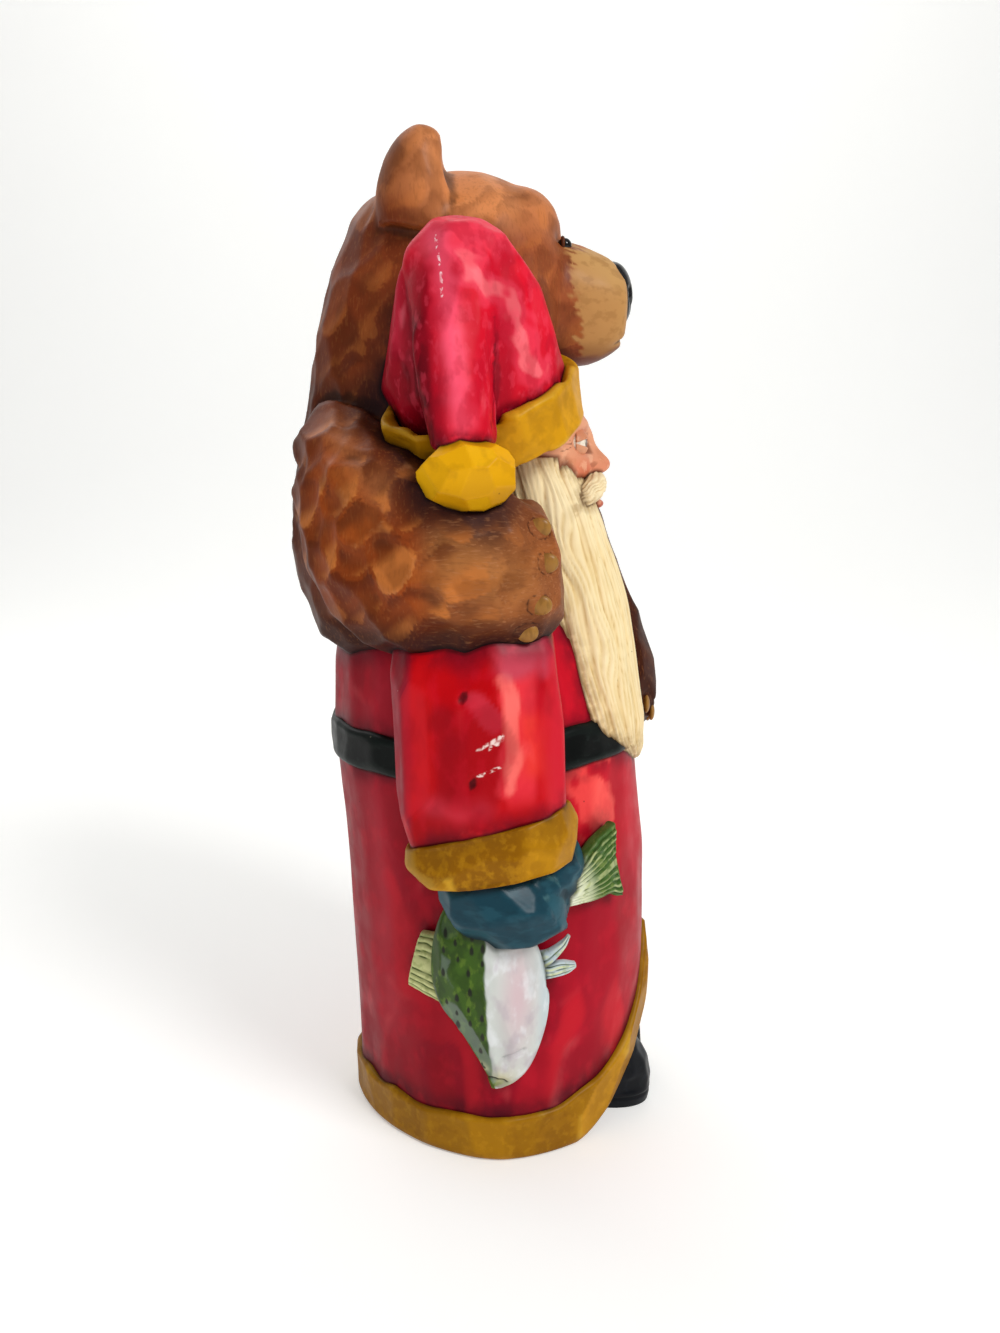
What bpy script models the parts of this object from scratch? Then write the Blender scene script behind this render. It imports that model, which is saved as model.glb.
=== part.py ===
"""Santa with a bear riding on his back and a trout in his hand: a figurine carved in style and cast in one piece.

He faces -Y, his right hand is at -X, and the origin is under the middle of the coat, on the flat underside.
Every length below is a share of HEIGHT, given in UNIT, which is one millimetre at the real size.
"""

import math
import random

import bmesh
import bpy
import numpy as np
from mathutils import Matrix, Vector, kdtree
from mathutils.bvhtree import BVHTree

HEIGHT = 0.292
UNIT = HEIGHT / 292


def drawn(*rows):
    """Rows of lengths in UNIT, as rows of metres."""
    return [tuple(value * UNIT for value in row) for row in rows]


# The coat's sections: level, centre in y, half width in x, half depth in y.
COAT = drawn(
    (0, 0.0, 44.6, 46.4),
    (14, 0.0, 44.8, 46.4),
    (45, 0.2, 45.4, 46.8),
    (80, 1.2, 45.8, 47.0),
    (105, 3.4, 45.6, 46.8),
    (118, 4.6, 45.2, 46.6),
    (128, 5.6, 44.0, 45.4),
    (138, 7.6, 42.6, 43.0),
    (150, 9.8, 40.0, 40.4),
    (165, 10.0, 36.0, 36.4),
    (180, 8.0, 29.0, 29.0),
    (194, 5.0, 19.0, 20.0),
)
# A superellipse's power: the hem is a little diamond shaped, and from the knees up the coat is round.
HEM_POWER = 1.74
COAT_POWER = 2.0
ROUND_FROM = 60 * UNIT
# The skirt parts in front over the boots, and its trim follows the parting.
OPENING_HEIGHT = 42 * UNIT
OPENING_HALF_WIDTH = 37 * UNIT
OPENING_DEPTH = 7 * UNIT
OPENING_EDGE = 1.2 * UNIT
OPENING_CURVE = 1.2
HEM_HEIGHT = 13.6 * UNIT
HEM_RISE = 43 * UNIT
HEM_CURVE = 1.6
HEM_PROUD = 1.4 * UNIT
BELT_LEVEL = 115.5 * UNIT
BELT_HEIGHT = 11.4 * UNIT
BELT_PROUD = 1.4 * UNIT
BELT_END_ANGLE = 56.0
TRIM_ROOT = 2.5 * UNIT

# A sleeve's stations: x, y, z, half width in y, half thickness in x. The left one is its mirror image.
SLEEVE = drawn(
    (-31, 9.0, 174, 15.0, 10.0),
    (-38, 8.0, 162, 20.0, 12.0),
    (-43.5, 7.0, 150, 22.6, 13.8),
    (-46.5, 6.2, 138, 23.0, 14.6),
    (-48.0, 5.6, 122, 22.8, 14.8),
    (-49.0, 4.6, 110, 22.4, 14.0),
    (-49.5, 3.6, 101, 21.4, 13.2),
)
CUFF = drawn(
    (-49.2, 4.4, 105.6, 23.2, 14.8),
    (-49.8, 3.0, 100.0, 24.4, 15.8),
    (-50.0, 1.8, 93.6, 22.4, 15.2),
)
MITTEN_CENTRE = (-52.5, -1.2, 85.2)
MITTEN_RADII = (12.6, 18.2, 12.4)
MITTEN_TURN = 16.0
THUMB_CENTRE = (-46.5, -17.0, 93.0)
THUMB_RADII = (8.0, 6.0, 9.0)

# The trout hangs head down: x, y, z, half width in y, half thickness in x, from the snout up into the hand.
TROUT = drawn(
    (-47.6, 1.4, 27.0, 1.8, 1.8),
    (-48.2, -1.0, 31.4, 5.8, 4.6),
    (-48.6, -2.2, 36.5, 8.8, 6.2),
    (-49.0, -2.0, 44.0, 12.0, 7.2),
    (-49.2, -1.0, 51.0, 14.6, 7.8),
    (-49.4, 1.0, 58.5, 16.8, 8.2),
    (-49.6, 2.4, 66.0, 16.8, 8.2),
    (-49.8, 2.6, 74.0, 15.0, 8.0),
    (-50.0, 1.0, 82.0, 12.0, 7.0),
)
# Its fins: x, y, z, half width, half thickness, from the root out.
TAIL = drawn(
    (-49.0, -12.0, 86.0, 5.4, 4.4),
    (-46.5, -18.5, 86.2, 5.0, 4.0),
    (-42.0, -24.5, 88.4, 7.4, 3.8),
    (-37.5, -29.6, 91.2, 10.2, 3.8),
    (-34.4, -33.0, 92.4, 11.6, 3.8),
)
DORSAL = drawn((-46.0, 12.0, 67.0, 9.6, 4.0), (-44.4, 18.5, 67.0, 9.7, 3.4), (-42.6, 24.4, 67.4, 7.9, 3.2))
PELVIC = drawn((-46.5, -9.0, 64.6, 4.4, 3.4), (-46.0, -14.4, 65.0, 3.8, 2.8), (-45.4, -18.2, 66.4, 2.0, 2.2))
PELVIC_SPUR = drawn((-46.5, -9.0, 66.6, 4.0, 3.4), (-46.2, -13.0, 69.0, 2.2, 2.6), (-46.0, -14.8, 71.2, 1.4, 2.0))

# A boot's stations: x, y, z, half width in x, half length in y. The left one is its mirror image.
BOOT_SPREAD = 10.4 * UNIT
BOOT = drawn(
    (0, -35.9, 0.0, 8.6, 12.2),
    (0, -36.0, 5.0, 9.2, 12.8),
    (0, -35.8, 11.0, 9.0, 12.4),
    (0, -34.9, 17.0, 8.4, 10.6),
    (0, -33.6, 23.0, 8.0, 9.0),
    (0, -32.6, 36.0, 8.2, 8.4),
)

# The bear's trunk and nape: level, centre in x, centre in y, half width in x, half depth in y.
TRUNK = drawn(
    (147, 0, 30.0, 26.0, 18.0),
    (152, 0, 28.0, 33.0, 26.0),
    (161, 0, 26.5, 38.0, 32.4),
    (170, 0, 26.0, 40.5, 35.6),
    (181, 0, 26.0, 41.5, 36.8),
    (195, 2, 26.0, 40.5, 36.4),
    (208, 4, 25.0, 37.0, 35.2),
    (221, 4, 22.6, 32.0, 35.0),
    (234, 4, 20.0, 29.5, 35.6),
    (248, 5, 17.0, 29.5, 35.6),
    (260, 6, 15.0, 27.5, 33.6),
    (270, 6, 14.0, 23.5, 30.2),
    (276.5, 6, 15.0, 17.5, 24.6),
    (280.2, 6, 16.0, 11.0, 16.4),
    (281.8, 6, 16.5, 5.0, 8.0),
)
HEAD_CENTRE = (6.0, 10.0, 251.5)
HEAD_RADII = (31.0, 31.0, 33.8)
BROW_CENTRE = (6.0, -4.5, 269.0)
BROW_RADII = (19.0, 13.2, 12.4)
CHEEK_CENTRE = (17.0, 1.0, 243.5)
CHEEK_RADII = (15.0, 17.0, 17.0)
# The muzzle's stations: x, y, z, half width in x, half height in z.
MUZZLE = drawn(
    (6, -6, 248.0, 17.0, 19.0),
    (6, -18, 248.0, 15.4, 18.4),
    (6, -26, 247.4, 13.4, 16.6),
    (6, -32, 247.2, 11.6, 14.0),
    (6, -35.8, 247.2, 9.8, 10.6),
)
JAW = drawn((-7, -20, 232.4), (-4, -30, 233.2), (1, -35.6, 236.6))
JAW_CUT = 1.3 * UNIT
NOSE_CENTRE = (6.0, -34.0, 252.8)
NOSE_RADII = (7.2, 4.6, 7.8)
# The right ear's stations: x, y, z, half width in y, half thickness in x. The left one is its mirror image.
EAR = drawn(
    (-11.0, 23.4, 267, 12.0, 12.4),
    (-12.4, 23.0, 275.5, 11.4, 11.2),
    (-13.6, 22.2, 283, 9.4, 9.2),
    (-14.4, 21.0, 288, 6.6, 7.0),
    (-14.8, 20.2, 290.6, 4.2, 4.6),
)
HAUNCH_CENTRE = (-17.0, 33.0, 163.0)
HAUNCH_RADII = (26.0, 24.0, 18.6)
# What shows of its chest, behind Santa's head, and its left shoulder.
CHEST_CENTRE = (-12.0, 14.0, 203.0)
CHEST_RADII = (27.0, 18.0, 18.0)
SHOULDER_CENTRE = (20.0, 34.0, 194.0)
SHOULDER_RADII = (24.0, 22.0, 28.0)

# The bear's arms: x, y, z, half height across the arm, half thickness. Each lies over one of Santa's shoulders.
RIGHT_ARM = drawn(
    (-21, 43.0, 201, 19.0, 16.0),
    (-31.5, 35.0, 187, 25.4, 18.6),
    (-39, 22.6, 176.6, 26.2, 20.4),
    (-42, 8.0, 174.6, 25.4, 20.4),
    (-42, -3.0, 174.4, 22.6, 18.0),
    (-41, -9.4, 175.4, 18.6, 14.4),
)
LEFT_ARM = drawn(
    (14, 36.0, 196, 22.0, 20.0),
    (27, 28.0, 204, 23.0, 20.0),
    (35, 13.0, 207, 20.0, 18.0),
    (36, -3.0, 203, 17.6, 16.6),
    (32.5, -15.4, 190, 16.0, 15.2),
    (28.5, -23.2, 172, 15.0, 14.6),
    (25.5, -30.8, 152, 14.6, 14.2),
    (23, -37.4, 134, 14.6, 14.2),
    (22, -38.9, 122, 12.4, 12.2),
)
CLAW_RADII = (2.1, 1.6, 2.9)
CLAW_SINK = 0.7 * UNIT
# Where the claws sit, seen from his right side (y, z) and from the front (x, z).
RIGHT_CLAWS = drawn((-6.8, 193.6), (-10.2, 186.4), (-12.0, 177.6), (-10.4, 167.0), (-7.0, 159.6))
LEFT_CLAWS = drawn((32.4, 125.0), (27.8, 121.4), (22.8, 120.0), (17.8, 121.4), (13.4, 125.0))

# His head, and a plain face on it in even proportion, with the eyes half way up.
FACE_CENTRE = (-6.0, -6.0, 207.0)
FACE_RADII = (19.0, 20.0, 22.0)
FACE_NOSE_RADII = (4.6, 5.2, 4.4)
FACE_CHEEK_RADII = (7.2, 6.6, 6.8)
EYEBROW_RADII = (6.4, 3.4, 3.2)
MOUSTACHE_RADII = (9.4, 4.6, 4.4)
# The beard: level, centre in x, centre in y, half width in x, half depth in y.
BEARD = drawn(
    (204, -6.5, -6.0, 20.4, 16.4),
    (194, -6.2, -10.0, 20.6, 17.4),
    (180, -5.6, -14.6, 20.6, 18.0),
    (164, -5.4, -17.6, 21.4, 20.4),
    (151, -5.4, -20.4, 21.6, 20.2),
    (139, -5.6, -24.6, 20.6, 17.6),
    (127, -5.6, -28.0, 17.8, 16.0),
    (119, -5.4, -32.4, 13.4, 12.0),
    (113.4, -5.0, -37.0, 7.6, 6.4),
)
BEARD_GROOVES = 26
BEARD_GROOVE_DEPTH = 0.9 * UNIT
BEARD_WAVE = 13 * UNIT

# The hat leans to his right: a ring of trim, a crown that rises beside the bear's cheek, and a tail that folds down.
BRIM_CENTRE = (-18.0, 4.2, 216.5)
BRIM_LEAN = 24.0
BRIM_TIP = 17.0
BRIM_RADII = (25.0, 24.8)
# Behind this y the trim swings out over the bear's neck, by this much for each length further back.
BRIM_FLARE_FROM = 10 * UNIT
BRIM_FLARE = 0.62
BRIM_HEIGHT = 13.6 * UNIT
BRIM_THICKNESS = 6.0 * UNIT
CROWN = drawn(
    (-16, 4.8, 212, 22.0, 22.0),
    (-24, 6.2, 224, 24.0, 21.6),
    (-31, 7.6, 237, 21.8, 18.8),
    (-36, 9.4, 248, 18.4, 14.4),
    (-38, 10.6, 257.4, 13.0, 9.4),
)
HAT_TAIL = drawn(
    (-34, 9.4, 257.0, 12.0, 8.8),
    (-40, 12.0, 254, 11.6, 8.6),
    (-45.5, 13.8, 244, 10.4, 8.4),
    (-48.5, 13.6, 231, 9.0, 8.4),
    (-50.0, 12.2, 219, 8.0, 8.2),
    (-51.0, 10.8, 208, 7.2, 7.4),
)
# The folds on both sides of the tail.
HAT_FOLDS = (
    drawn((-50, 5.6, 243.4), (-52, 2.0, 235), (-50, 2.6, 214)),
    drawn((-46, 24.0, 240), (-47, 22.0, 226), (-46, 20.6, 212)),
)
FOLD_CUT = 2.4 * UNIT
POMPOM_CENTRE = (-54.6, 7.8, 199.4)
POMPOM_RADII = (10.4, 12.4, 9.9)

# How far apart the gouge's and the knife's cuts lie, and how deep they are.
COAT_CUT = 15 * UNIT
BEAR_CUT = 10 * UNIT
HAT_CUT = 11 * UNIT
POMPOM_CUT = 9 * UNIT
CUT_DEPTH = 0.55 * UNIT
FACET_DEPTH = 0.35 * UNIT
LONG_CUT = (1.0, 1.0, 2.4)

ROUND = 32
VOXEL = 1.0 * UNIT
LAST_VOXEL = 0.9 * UNIT
UNDERSIDE = 1.0 * UNIT
MOST_TRIANGLES = 9600
SEED = 11


def clear_scene():
    for old in list(bpy.data.objects):
        bpy.data.objects.remove(old, do_unlink=True)


def blend(t):
    """A smooth step from 0 to 1."""
    t = min(1.0, max(0.0, t))
    return t * t * (3 - 2 * t)


def through(rows, count):
    """Rows of numbers read from a smooth curve through the given ones, count steps between each pair."""
    rows = [np.array(row, float) for row in rows]
    padded = [2 * rows[0] - rows[1], *rows, 2 * rows[-1] - rows[-2]]
    found = []
    for before, start, end, after in zip(padded, padded[1:], padded[2:], padded[3:]):
        for step in range(count):
            t = step / count
            straight = 2 * start + (end - before) * t
            bend = (2 * before - 5 * start + 4 * end - after) * t * t
            twist = (3 * start - before - 3 * end + after) * t * t * t
            found.append(0.5 * (straight + bend + twist))
    return [*found, rows[-1]]


def signed_power(value, power):
    return math.copysign(abs(value) ** power, value)


def oval(centre, across, along, power=2.0, sides=ROUND):
    """Points round a superellipse whose half axes are the two vectors."""
    points = []
    for step in range(sides):
        angle = 2 * math.pi * step / sides
        c = signed_power(math.cos(angle), 2 / power)
        s = signed_power(math.sin(angle), 2 / power)
        points.append(Vector(centre) + Vector(across) * c + Vector(along) * s)
    return points


def skin(rings):
    """A closed body through rings of points, capped with a fan at each end."""
    mesh = bmesh.new()
    loops = [[mesh.verts.new(point) for point in ring] for ring in rings]
    for low, high in zip(loops, loops[1:]):
        for i in range(len(low)):
            j = (i + 1) % len(low)
            mesh.faces.new((low[i], low[j], high[j], high[i]))
    for loop in (loops[0], loops[-1]):
        middle = mesh.verts.new(sum((v.co for v in loop), Vector()) / len(loop))
        for i in range(len(loop)):
            mesh.faces.new((loop[i], loop[(i + 1) % len(loop)], middle))
    bmesh.ops.recalc_face_normals(mesh, faces=mesh.faces)
    return mesh


def dome(before, end, length):
    """Stations that round off a limb beyond its end."""
    if not length:
        return []
    ahead = (end[:3] - before[:3]) / np.linalg.norm(end[:3] - before[:3])
    found = []
    for share in (0.5, 0.8, 0.95):
        place = end[:3] + ahead * length * share
        found.append(np.concatenate([place, end[3:] * math.sqrt(1 - share * share)]))
    return found


def limb(stations, across, domes=(0, 0), power=2.0, steps=4):
    """A body along stations (x, y, z, half width along across, other half width), with domes given in UNIT."""
    rows = through(stations, steps)
    first = dome(rows[1], rows[0], domes[0] * UNIT)
    last = dome(rows[-2], rows[-1], domes[1] * UNIT)
    rows = [*first[::-1], *rows, *last]
    spine = [Vector(row[:3]) for row in rows]
    rings = []
    for i, row in enumerate(rows):
        ahead = (spine[min(i + 1, len(rows) - 1)] - spine[max(i - 1, 0)]).normalized()
        side = (Vector(across) - ahead * ahead.dot(Vector(across))).normalized()
        other = ahead.cross(side)
        rings.append(oval(spine[i], side * row[3], other * row[4], power))
    return skin(rings)


def egg(centre, radii, turn=(0.0, 0.0, 0.0), detail=4):
    """An ellipsoid with its centre and radii in UNIT, turned by degrees about x, y and z."""
    mesh = bmesh.new()
    bmesh.ops.create_icosphere(mesh, subdivisions=detail, radius=UNIT)
    turned = Matrix.Identity(4)
    for axis, degrees in zip("XYZ", turn):
        turned = Matrix.Rotation(math.radians(degrees), 4, axis) @ turned
    mesh.transform(Matrix.Translation(Vector(centre) * UNIT) @ turned @ Matrix.Diagonal((*radii, 1.0)))
    return mesh


def mirrored(rows):
    """The same stations on his other side."""
    return [(-row[0], *row[1:]) for row in rows]


def mirrored_in(middle, rows):
    """The same stations on the other side of the bear's head."""
    return [(2 * middle * UNIT - row[0], *row[1:]) for row in rows]


def evaluated(body):
    """The object's mesh as its modifiers leave it."""
    bpy.context.view_layer.update()
    graph = bpy.context.evaluated_depsgraph_get()
    return bpy.data.meshes.new_from_object(body.evaluated_get(graph))


def keep_outer_skin(mesh):
    """Deletes every shell but the largest, which are the hollows between forms that overlap."""
    left = set(mesh.verts)
    shells = []
    while left:
        shell = [left.pop()]
        for vert in shell:
            for edge in vert.link_edges:
                other = edge.other_vert(vert)
                if other in left:
                    left.remove(other)
                    shell.append(other)
        shells.append(shell)
    shells.sort(key=len)
    inner = [vert for shell in shells[:-1] for vert in shell]
    bmesh.ops.delete(mesh, geom=inner, context="VERTS")


def fused(meshes, name, voxel=VOXEL, soften=2):
    """The meshes as one closed skin, softened where they meet."""
    joined = bmesh.new()
    for mesh in meshes:
        held = bpy.data.meshes.new(name)
        mesh.to_mesh(held)
        joined.from_mesh(held)
        mesh.free()
        bpy.data.meshes.remove(held)
    data = bpy.data.meshes.new(name)
    joined.to_mesh(data)
    joined.free()
    body = bpy.data.objects.new(name, data)
    bpy.context.scene.collection.objects.link(body)
    fuse = body.modifiers.new("fuse", "REMESH")
    fuse.mode = "VOXEL"
    fuse.voxel_size = voxel
    if soften:
        smooth = body.modifiers.new("soften", "SMOOTH")
        smooth.factor = 0.5
        smooth.iterations = soften
    whole = bmesh.new()
    whole.from_mesh(evaluated(body))
    bpy.data.objects.remove(body, do_unlink=True)
    keep_outer_skin(whole)
    return whole


def scattered(mesh, spacing, squeeze, seed):
    """Points of the mesh picked at random, no two closer than most of the spacing."""
    chooser = random.Random(seed)
    order = list(mesh.verts)
    chooser.shuffle(order)
    steps = (-1, 0, 1)
    chosen = []
    cells = {}
    for vert in order:
        place = vert.co * squeeze
        i, j, k = (int(c // spacing) for c in place)
        around = [(i + a, j + b, k + c) for a in steps for b in steps for c in steps]
        if any((place - other).length < spacing * 0.8 for near in around for other in cells.get(near, ())):
            continue
        cells.setdefault((i, j, k), []).append(place)
        chosen.append((place, vert.co.copy(), vert.normal.copy()))
    return chosen


def carve(mesh, spacing, stretch=(1.0, 1.0, 1.0), depth=CUT_DEPTH, seed=SEED):
    """Cuts shallow scoops all over, as a gouge leaves them. stretch makes them longer along an axis."""
    mesh.normal_update()
    squeeze = Vector(1 / share for share in stretch)
    seats = scattered(mesh, spacing, squeeze, seed)
    tree = kdtree.KDTree(len(seats))
    for i, seat in enumerate(seats):
        tree.insert(seat[0], i)
    tree.balance()
    moves = []
    for vert in mesh.verts:
        lowest = depth * 2
        for _, i, away in tree.find_n(vert.co * squeeze, 5):
            _, seat, up = seats[i]
            facing = vert.normal.dot(up)
            if facing < 0.55:
                continue
            plane = max(-depth, (seat - vert.co).dot(up) / facing)
            scoop = depth * (away / spacing) ** 2 + depth * (1 - facing)
            lowest = min(lowest, plane + scoop)
        moves.append(vert.normal * (lowest - depth))
    for vert, move in zip(mesh.verts, moves):
        vert.co += move


def groove(mesh, path, width):
    """Presses a soft V into the skin along a line of points, as deep as half its width."""
    line = [Vector(row) for row in through(path, 8)]
    tree = kdtree.KDTree(len(line))
    for i, point in enumerate(line):
        tree.insert(point, i)
    tree.balance()
    mesh.normal_update()
    for vert in mesh.verts:
        away = tree.find(vert.co)[2]
        if away < 3 * width:
            vert.co -= vert.normal * width * math.exp(-((away / width) ** 2))


def coat_section(level):
    """Centre in y, half width and half depth of the coat at a level, and its section's power."""
    levels = [row[0] for row in COAT]
    centre, width, depth = (float(np.interp(level, levels, [row[i] for row in COAT])) for i in (1, 2, 3))
    power = HEM_POWER + (COAT_POWER - HEM_POWER) * blend(level / ROUND_FROM)
    return centre, width, depth, power


def coat_point(angle, level, out=0.0):
    """A point of the coat. Angle 0 is his right side, and 90 degrees his front."""
    centre, width, depth, power = coat_section(level)
    c = signed_power(math.cos(angle), 2 / power)
    s = signed_power(math.sin(angle), 2 / power)
    return Vector((-(width + out) * c, centre - (depth + out) * s, level))


def opening_level(x):
    """How high the skirt's parting reaches at x."""
    return OPENING_HEIGHT * max(0.0, 1 - abs(x) / OPENING_HALF_WIDTH) ** OPENING_CURVE


def hem_edges(angle):
    """The trim's lower and upper level. Both rise with the parting in front."""
    if math.sin(angle) <= 0:
        return 0.0, HEM_HEIGHT
    x = coat_point(angle, HEM_HEIGHT).x
    rise = HEM_RISE * max(0.0, 1 - abs(x) / COAT[0][2]) ** HEM_CURVE
    return opening_level(x), HEM_HEIGHT + rise


def belt_edges(angle):
    return BELT_LEVEL, BELT_LEVEL + BELT_HEIGHT


def coat_body(around=144, levels=112):
    """The coat and skirt, set back behind the parting."""
    rings = []
    for row in range(levels + 1):
        level = COAT[-1][0] * row / levels
        ring = []
        for step in range(around):
            angle = 2 * math.pi * step / around
            point = coat_point(angle, level)
            inside = blend((opening_level(point.x) - level) / OPENING_EDGE) if point.y < 0 else 0.0
            ring.append(coat_point(angle, level, -OPENING_DEPTH * inside))
        rings.append(ring)
    return skin(rings)


def band(first, last, edges, proud, count=180, across=6):
    """A strip of trim round the coat between two angles in degrees, standing proud of it."""
    mesh = bmesh.new()
    closed = last - first >= 360
    sections = []
    for i in range(count if closed else count + 1):
        angle = math.radians(first + (last - first) * i / count)
        bottom, top = edges(angle)
        outer = [coat_point(angle, bottom + (top - bottom) * j / across, proud) for j in range(across + 1)]
        inner = [coat_point(angle, top, -TRIM_ROOT), coat_point(angle, bottom, -TRIM_ROOT)]
        sections.append([mesh.verts.new(point) for point in outer + inner])
    pairs = list(zip(sections, sections[1:]))
    if closed:
        pairs.append((sections[-1], sections[0]))
    for one, two in pairs:
        for i in range(len(one)):
            j = (i + 1) % len(one)
            mesh.faces.new((one[i], one[j], two[j], two[i]))
    if not closed:
        mesh.faces.new(sections[0])
        mesh.faces.new(sections[-1][::-1])
    bmesh.ops.recalc_face_normals(mesh, faces=mesh.faces)
    return mesh


def hem():
    return band(0, 360, hem_edges, HEM_PROUD)


def belt():
    """It ends on each side of the beard."""
    return band(180 - BELT_END_ANGLE, 360 + BELT_END_ANGLE, belt_edges, BELT_PROUD, count=120)


def sleeves():
    return [limb(rows, (0, 1, 0), domes=(8, 3), power=2.2) for rows in (SLEEVE, mirrored(SLEEVE))]


def cuffs_and_mittens():
    made = []
    for side, cuff in ((1, CUFF), (-1, mirrored(CUFF))):
        made.append(limb(cuff, (0, 1, 0), domes=(1.5, 1.5), power=2.2))
        made.append(egg((MITTEN_CENTRE[0] * side, *MITTEN_CENTRE[1:]), MITTEN_RADII, (MITTEN_TURN, 0, 0)))
        made.append(egg((THUMB_CENTRE[0] * side, *THUMB_CENTRE[1:]), THUMB_RADII))
    return made


def trout():
    """The fish in his right hand, with its tail coming out in front of the fist."""
    made = [limb(TROUT, (0, 1, 0), domes=(0.8, 3), power=1.7)]
    made.append(limb(TAIL, (0, 0.1, 1), domes=(2, 0.5), power=3))
    made.append(limb(DORSAL, (0, -0.2, 1), domes=(0, 0.5), power=3))
    for rows in (PELVIC, PELVIC_SPUR):
        made.append(limb(rows, (0, 0, 1), domes=(0, 0.5)))
    return made


def boots():
    made = []
    for side in (-1, 1):
        rows = [(BOOT_SPREAD * side, *row[1:]) for row in BOOT]
        made.append(limb(rows, (1, 0, 0), power=2.3))
    return made


def bear():
    """Trunk, chest, head, muzzle, ears, haunches and both arms, fused and carved."""
    trunk = [oval((x, y, level), (wide, 0, 0), (0, deep, 0)) for level, x, y, wide, deep in through(TRUNK, 4)]
    middle = HEAD_CENTRE[0]
    forms = [
        skin(trunk),
        egg(HEAD_CENTRE, HEAD_RADII),
        egg(BROW_CENTRE, BROW_RADII),
        limb(MUZZLE, (1, 0, 0), domes=(0, 1.8), power=2.2),
        limb(RIGHT_ARM, (0, 0, 1), domes=(6, 7), power=2.2, steps=5),
        limb(LEFT_ARM, (1, 0, 0), domes=(6, 8.4), steps=5),
        limb(EAR, (0, 1, 0), domes=(0, 1.8)),
        limb(mirrored_in(middle, EAR), (0, 1, 0), domes=(0, 1.8)),
    ]
    forms += [egg(CHEST_CENTRE, CHEST_RADII), egg(SHOULDER_CENTRE, SHOULDER_RADII)]
    for side in (-1, 1):
        forms.append(egg((middle + CHEEK_CENTRE[0] * side, *CHEEK_CENTRE[1:]), CHEEK_RADII))
        forms.append(egg((HAUNCH_CENTRE[0] * side, *HAUNCH_CENTRE[1:]), HAUNCH_RADII))
    whole = fused(forms, "bear", soften=4)
    groove(whole, JAW, JAW_CUT)
    groove(whole, mirrored_in(middle, JAW), JAW_CUT)
    carve(whole, BEAR_CUT)
    return whole


def claws(paws):
    """Five nails on each forepaw, set into it where a line from outside meets the skin."""
    tree = BVHTree.FromBMesh(paws)
    thick, wide, long = CLAW_RADII[1], CLAW_RADII[0], CLAW_RADII[2]
    made = []
    for y, z in RIGHT_CLAWS:
        seat = tree.ray_cast(Vector((-HEIGHT, y, z)), Vector((1, 0, 0)))[0]
        seat.x += CLAW_SINK
        made.append(egg(seat / UNIT, (thick, long, wide), detail=2))
    for x, z in LEFT_CLAWS:
        seat = tree.ray_cast(Vector((x, -HEIGHT, z)), Vector((0, 1, 0)))[0]
        seat.y += CLAW_SINK
        made.append(egg(seat / UNIT, (wide, thick, long), detail=2))
    return made


def head():
    """His head with a plain face: a nose, two cheeks, two eyebrows and a moustache."""
    x, y, z = FACE_CENTRE
    wide, deep, high = FACE_RADII
    forms = [egg(FACE_CENTRE, FACE_RADII), egg((x, y - deep * 1.05, z - high * 0.16), FACE_NOSE_RADII)]
    for side in (-1, 1):
        cheek = (x + side * wide * 0.46, y - deep * 0.72, z - high * 0.3)
        eyebrow = (x + side * wide * 0.42, y - deep * 0.86, z + high * 0.3)
        moustache = (x + side * wide * 0.4, y - deep * 1.02, z - high * 0.52)
        forms.append(egg(cheek, FACE_CHEEK_RADII))
        forms.append(egg(eyebrow, EYEBROW_RADII, (0, side * 14, side * 14)))
        forms.append(egg(moustache, MOUSTACHE_RADII, (0, side * 22, side * 20)))
    return forms


def beard():
    """A long tapering beard with upright grooves."""
    rings = []
    for level, x, y, wide, deep in through(BEARD, 5):
        ring = []
        for point in oval((x, y, level), (wide, 0, 0), (0, deep, 0), sides=96):
            out = Vector((point.x - x, point.y - y, 0)).normalized()
            angle = math.atan2(out.y, out.x)
            wave = 0.5 - 0.5 * math.cos(angle * BEARD_GROOVES + 0.9 * math.sin(level / BEARD_WAVE))
            ring.append(point - out * BEARD_GROOVE_DEPTH * wave * min(1, wide / BEARD_WAVE))
        rings.append(ring)
    return skin(rings)


def brim():
    """The hat's trim: a ring of rounded rectangular section, leaning towards his right."""
    lean = Matrix.Rotation(math.radians(-BRIM_LEAN), 4, "Y")
    tip = Matrix.Rotation(math.radians(-BRIM_TIP), 4, "X")
    place = Matrix.Translation(Vector(BRIM_CENTRE) * UNIT) @ tip @ lean
    mesh = bmesh.new()
    sections = []
    for step in range(48):
        angle = 2 * math.pi * step / 48
        section = []
        for corner in oval((0, 0, 0), (BRIM_THICKNESS / 2, 0, 0), (0, BRIM_HEIGHT / 2, 0), power=3.4, sides=12):
            x = (BRIM_RADII[0] * UNIT + corner.x) * math.cos(angle)
            y = (BRIM_RADII[1] * UNIT + corner.x) * math.sin(angle)
            point = place @ Vector((x, y, corner.y))
            point.x -= BRIM_FLARE * max(0.0, point.y - BRIM_FLARE_FROM)
            section.append(mesh.verts.new(point))
        sections.append(section)
    for one, two in zip(sections, sections[1:] + sections[:1]):
        for j in range(len(one)):
            k = (j + 1) % len(one)
            mesh.faces.new((one[j], one[k], two[k], two[j]))
    bmesh.ops.recalc_face_normals(mesh, faces=mesh.faces)
    return mesh


def hat():
    """Crown and folded tail, with a deep fold on each side of the tail."""
    crown = limb(CROWN, (0, 1, 0), domes=(2, 5.5))
    tail = limb(HAT_TAIL, (0, 1, 0), domes=(5, 3))
    whole = fused([crown, tail], "hat", soften=3)
    for fold in HAT_FOLDS:
        groove(whole, fold, FOLD_CUT)
    carve(whole, HAT_CUT, stretch=LONG_CUT)
    return whole


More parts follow.
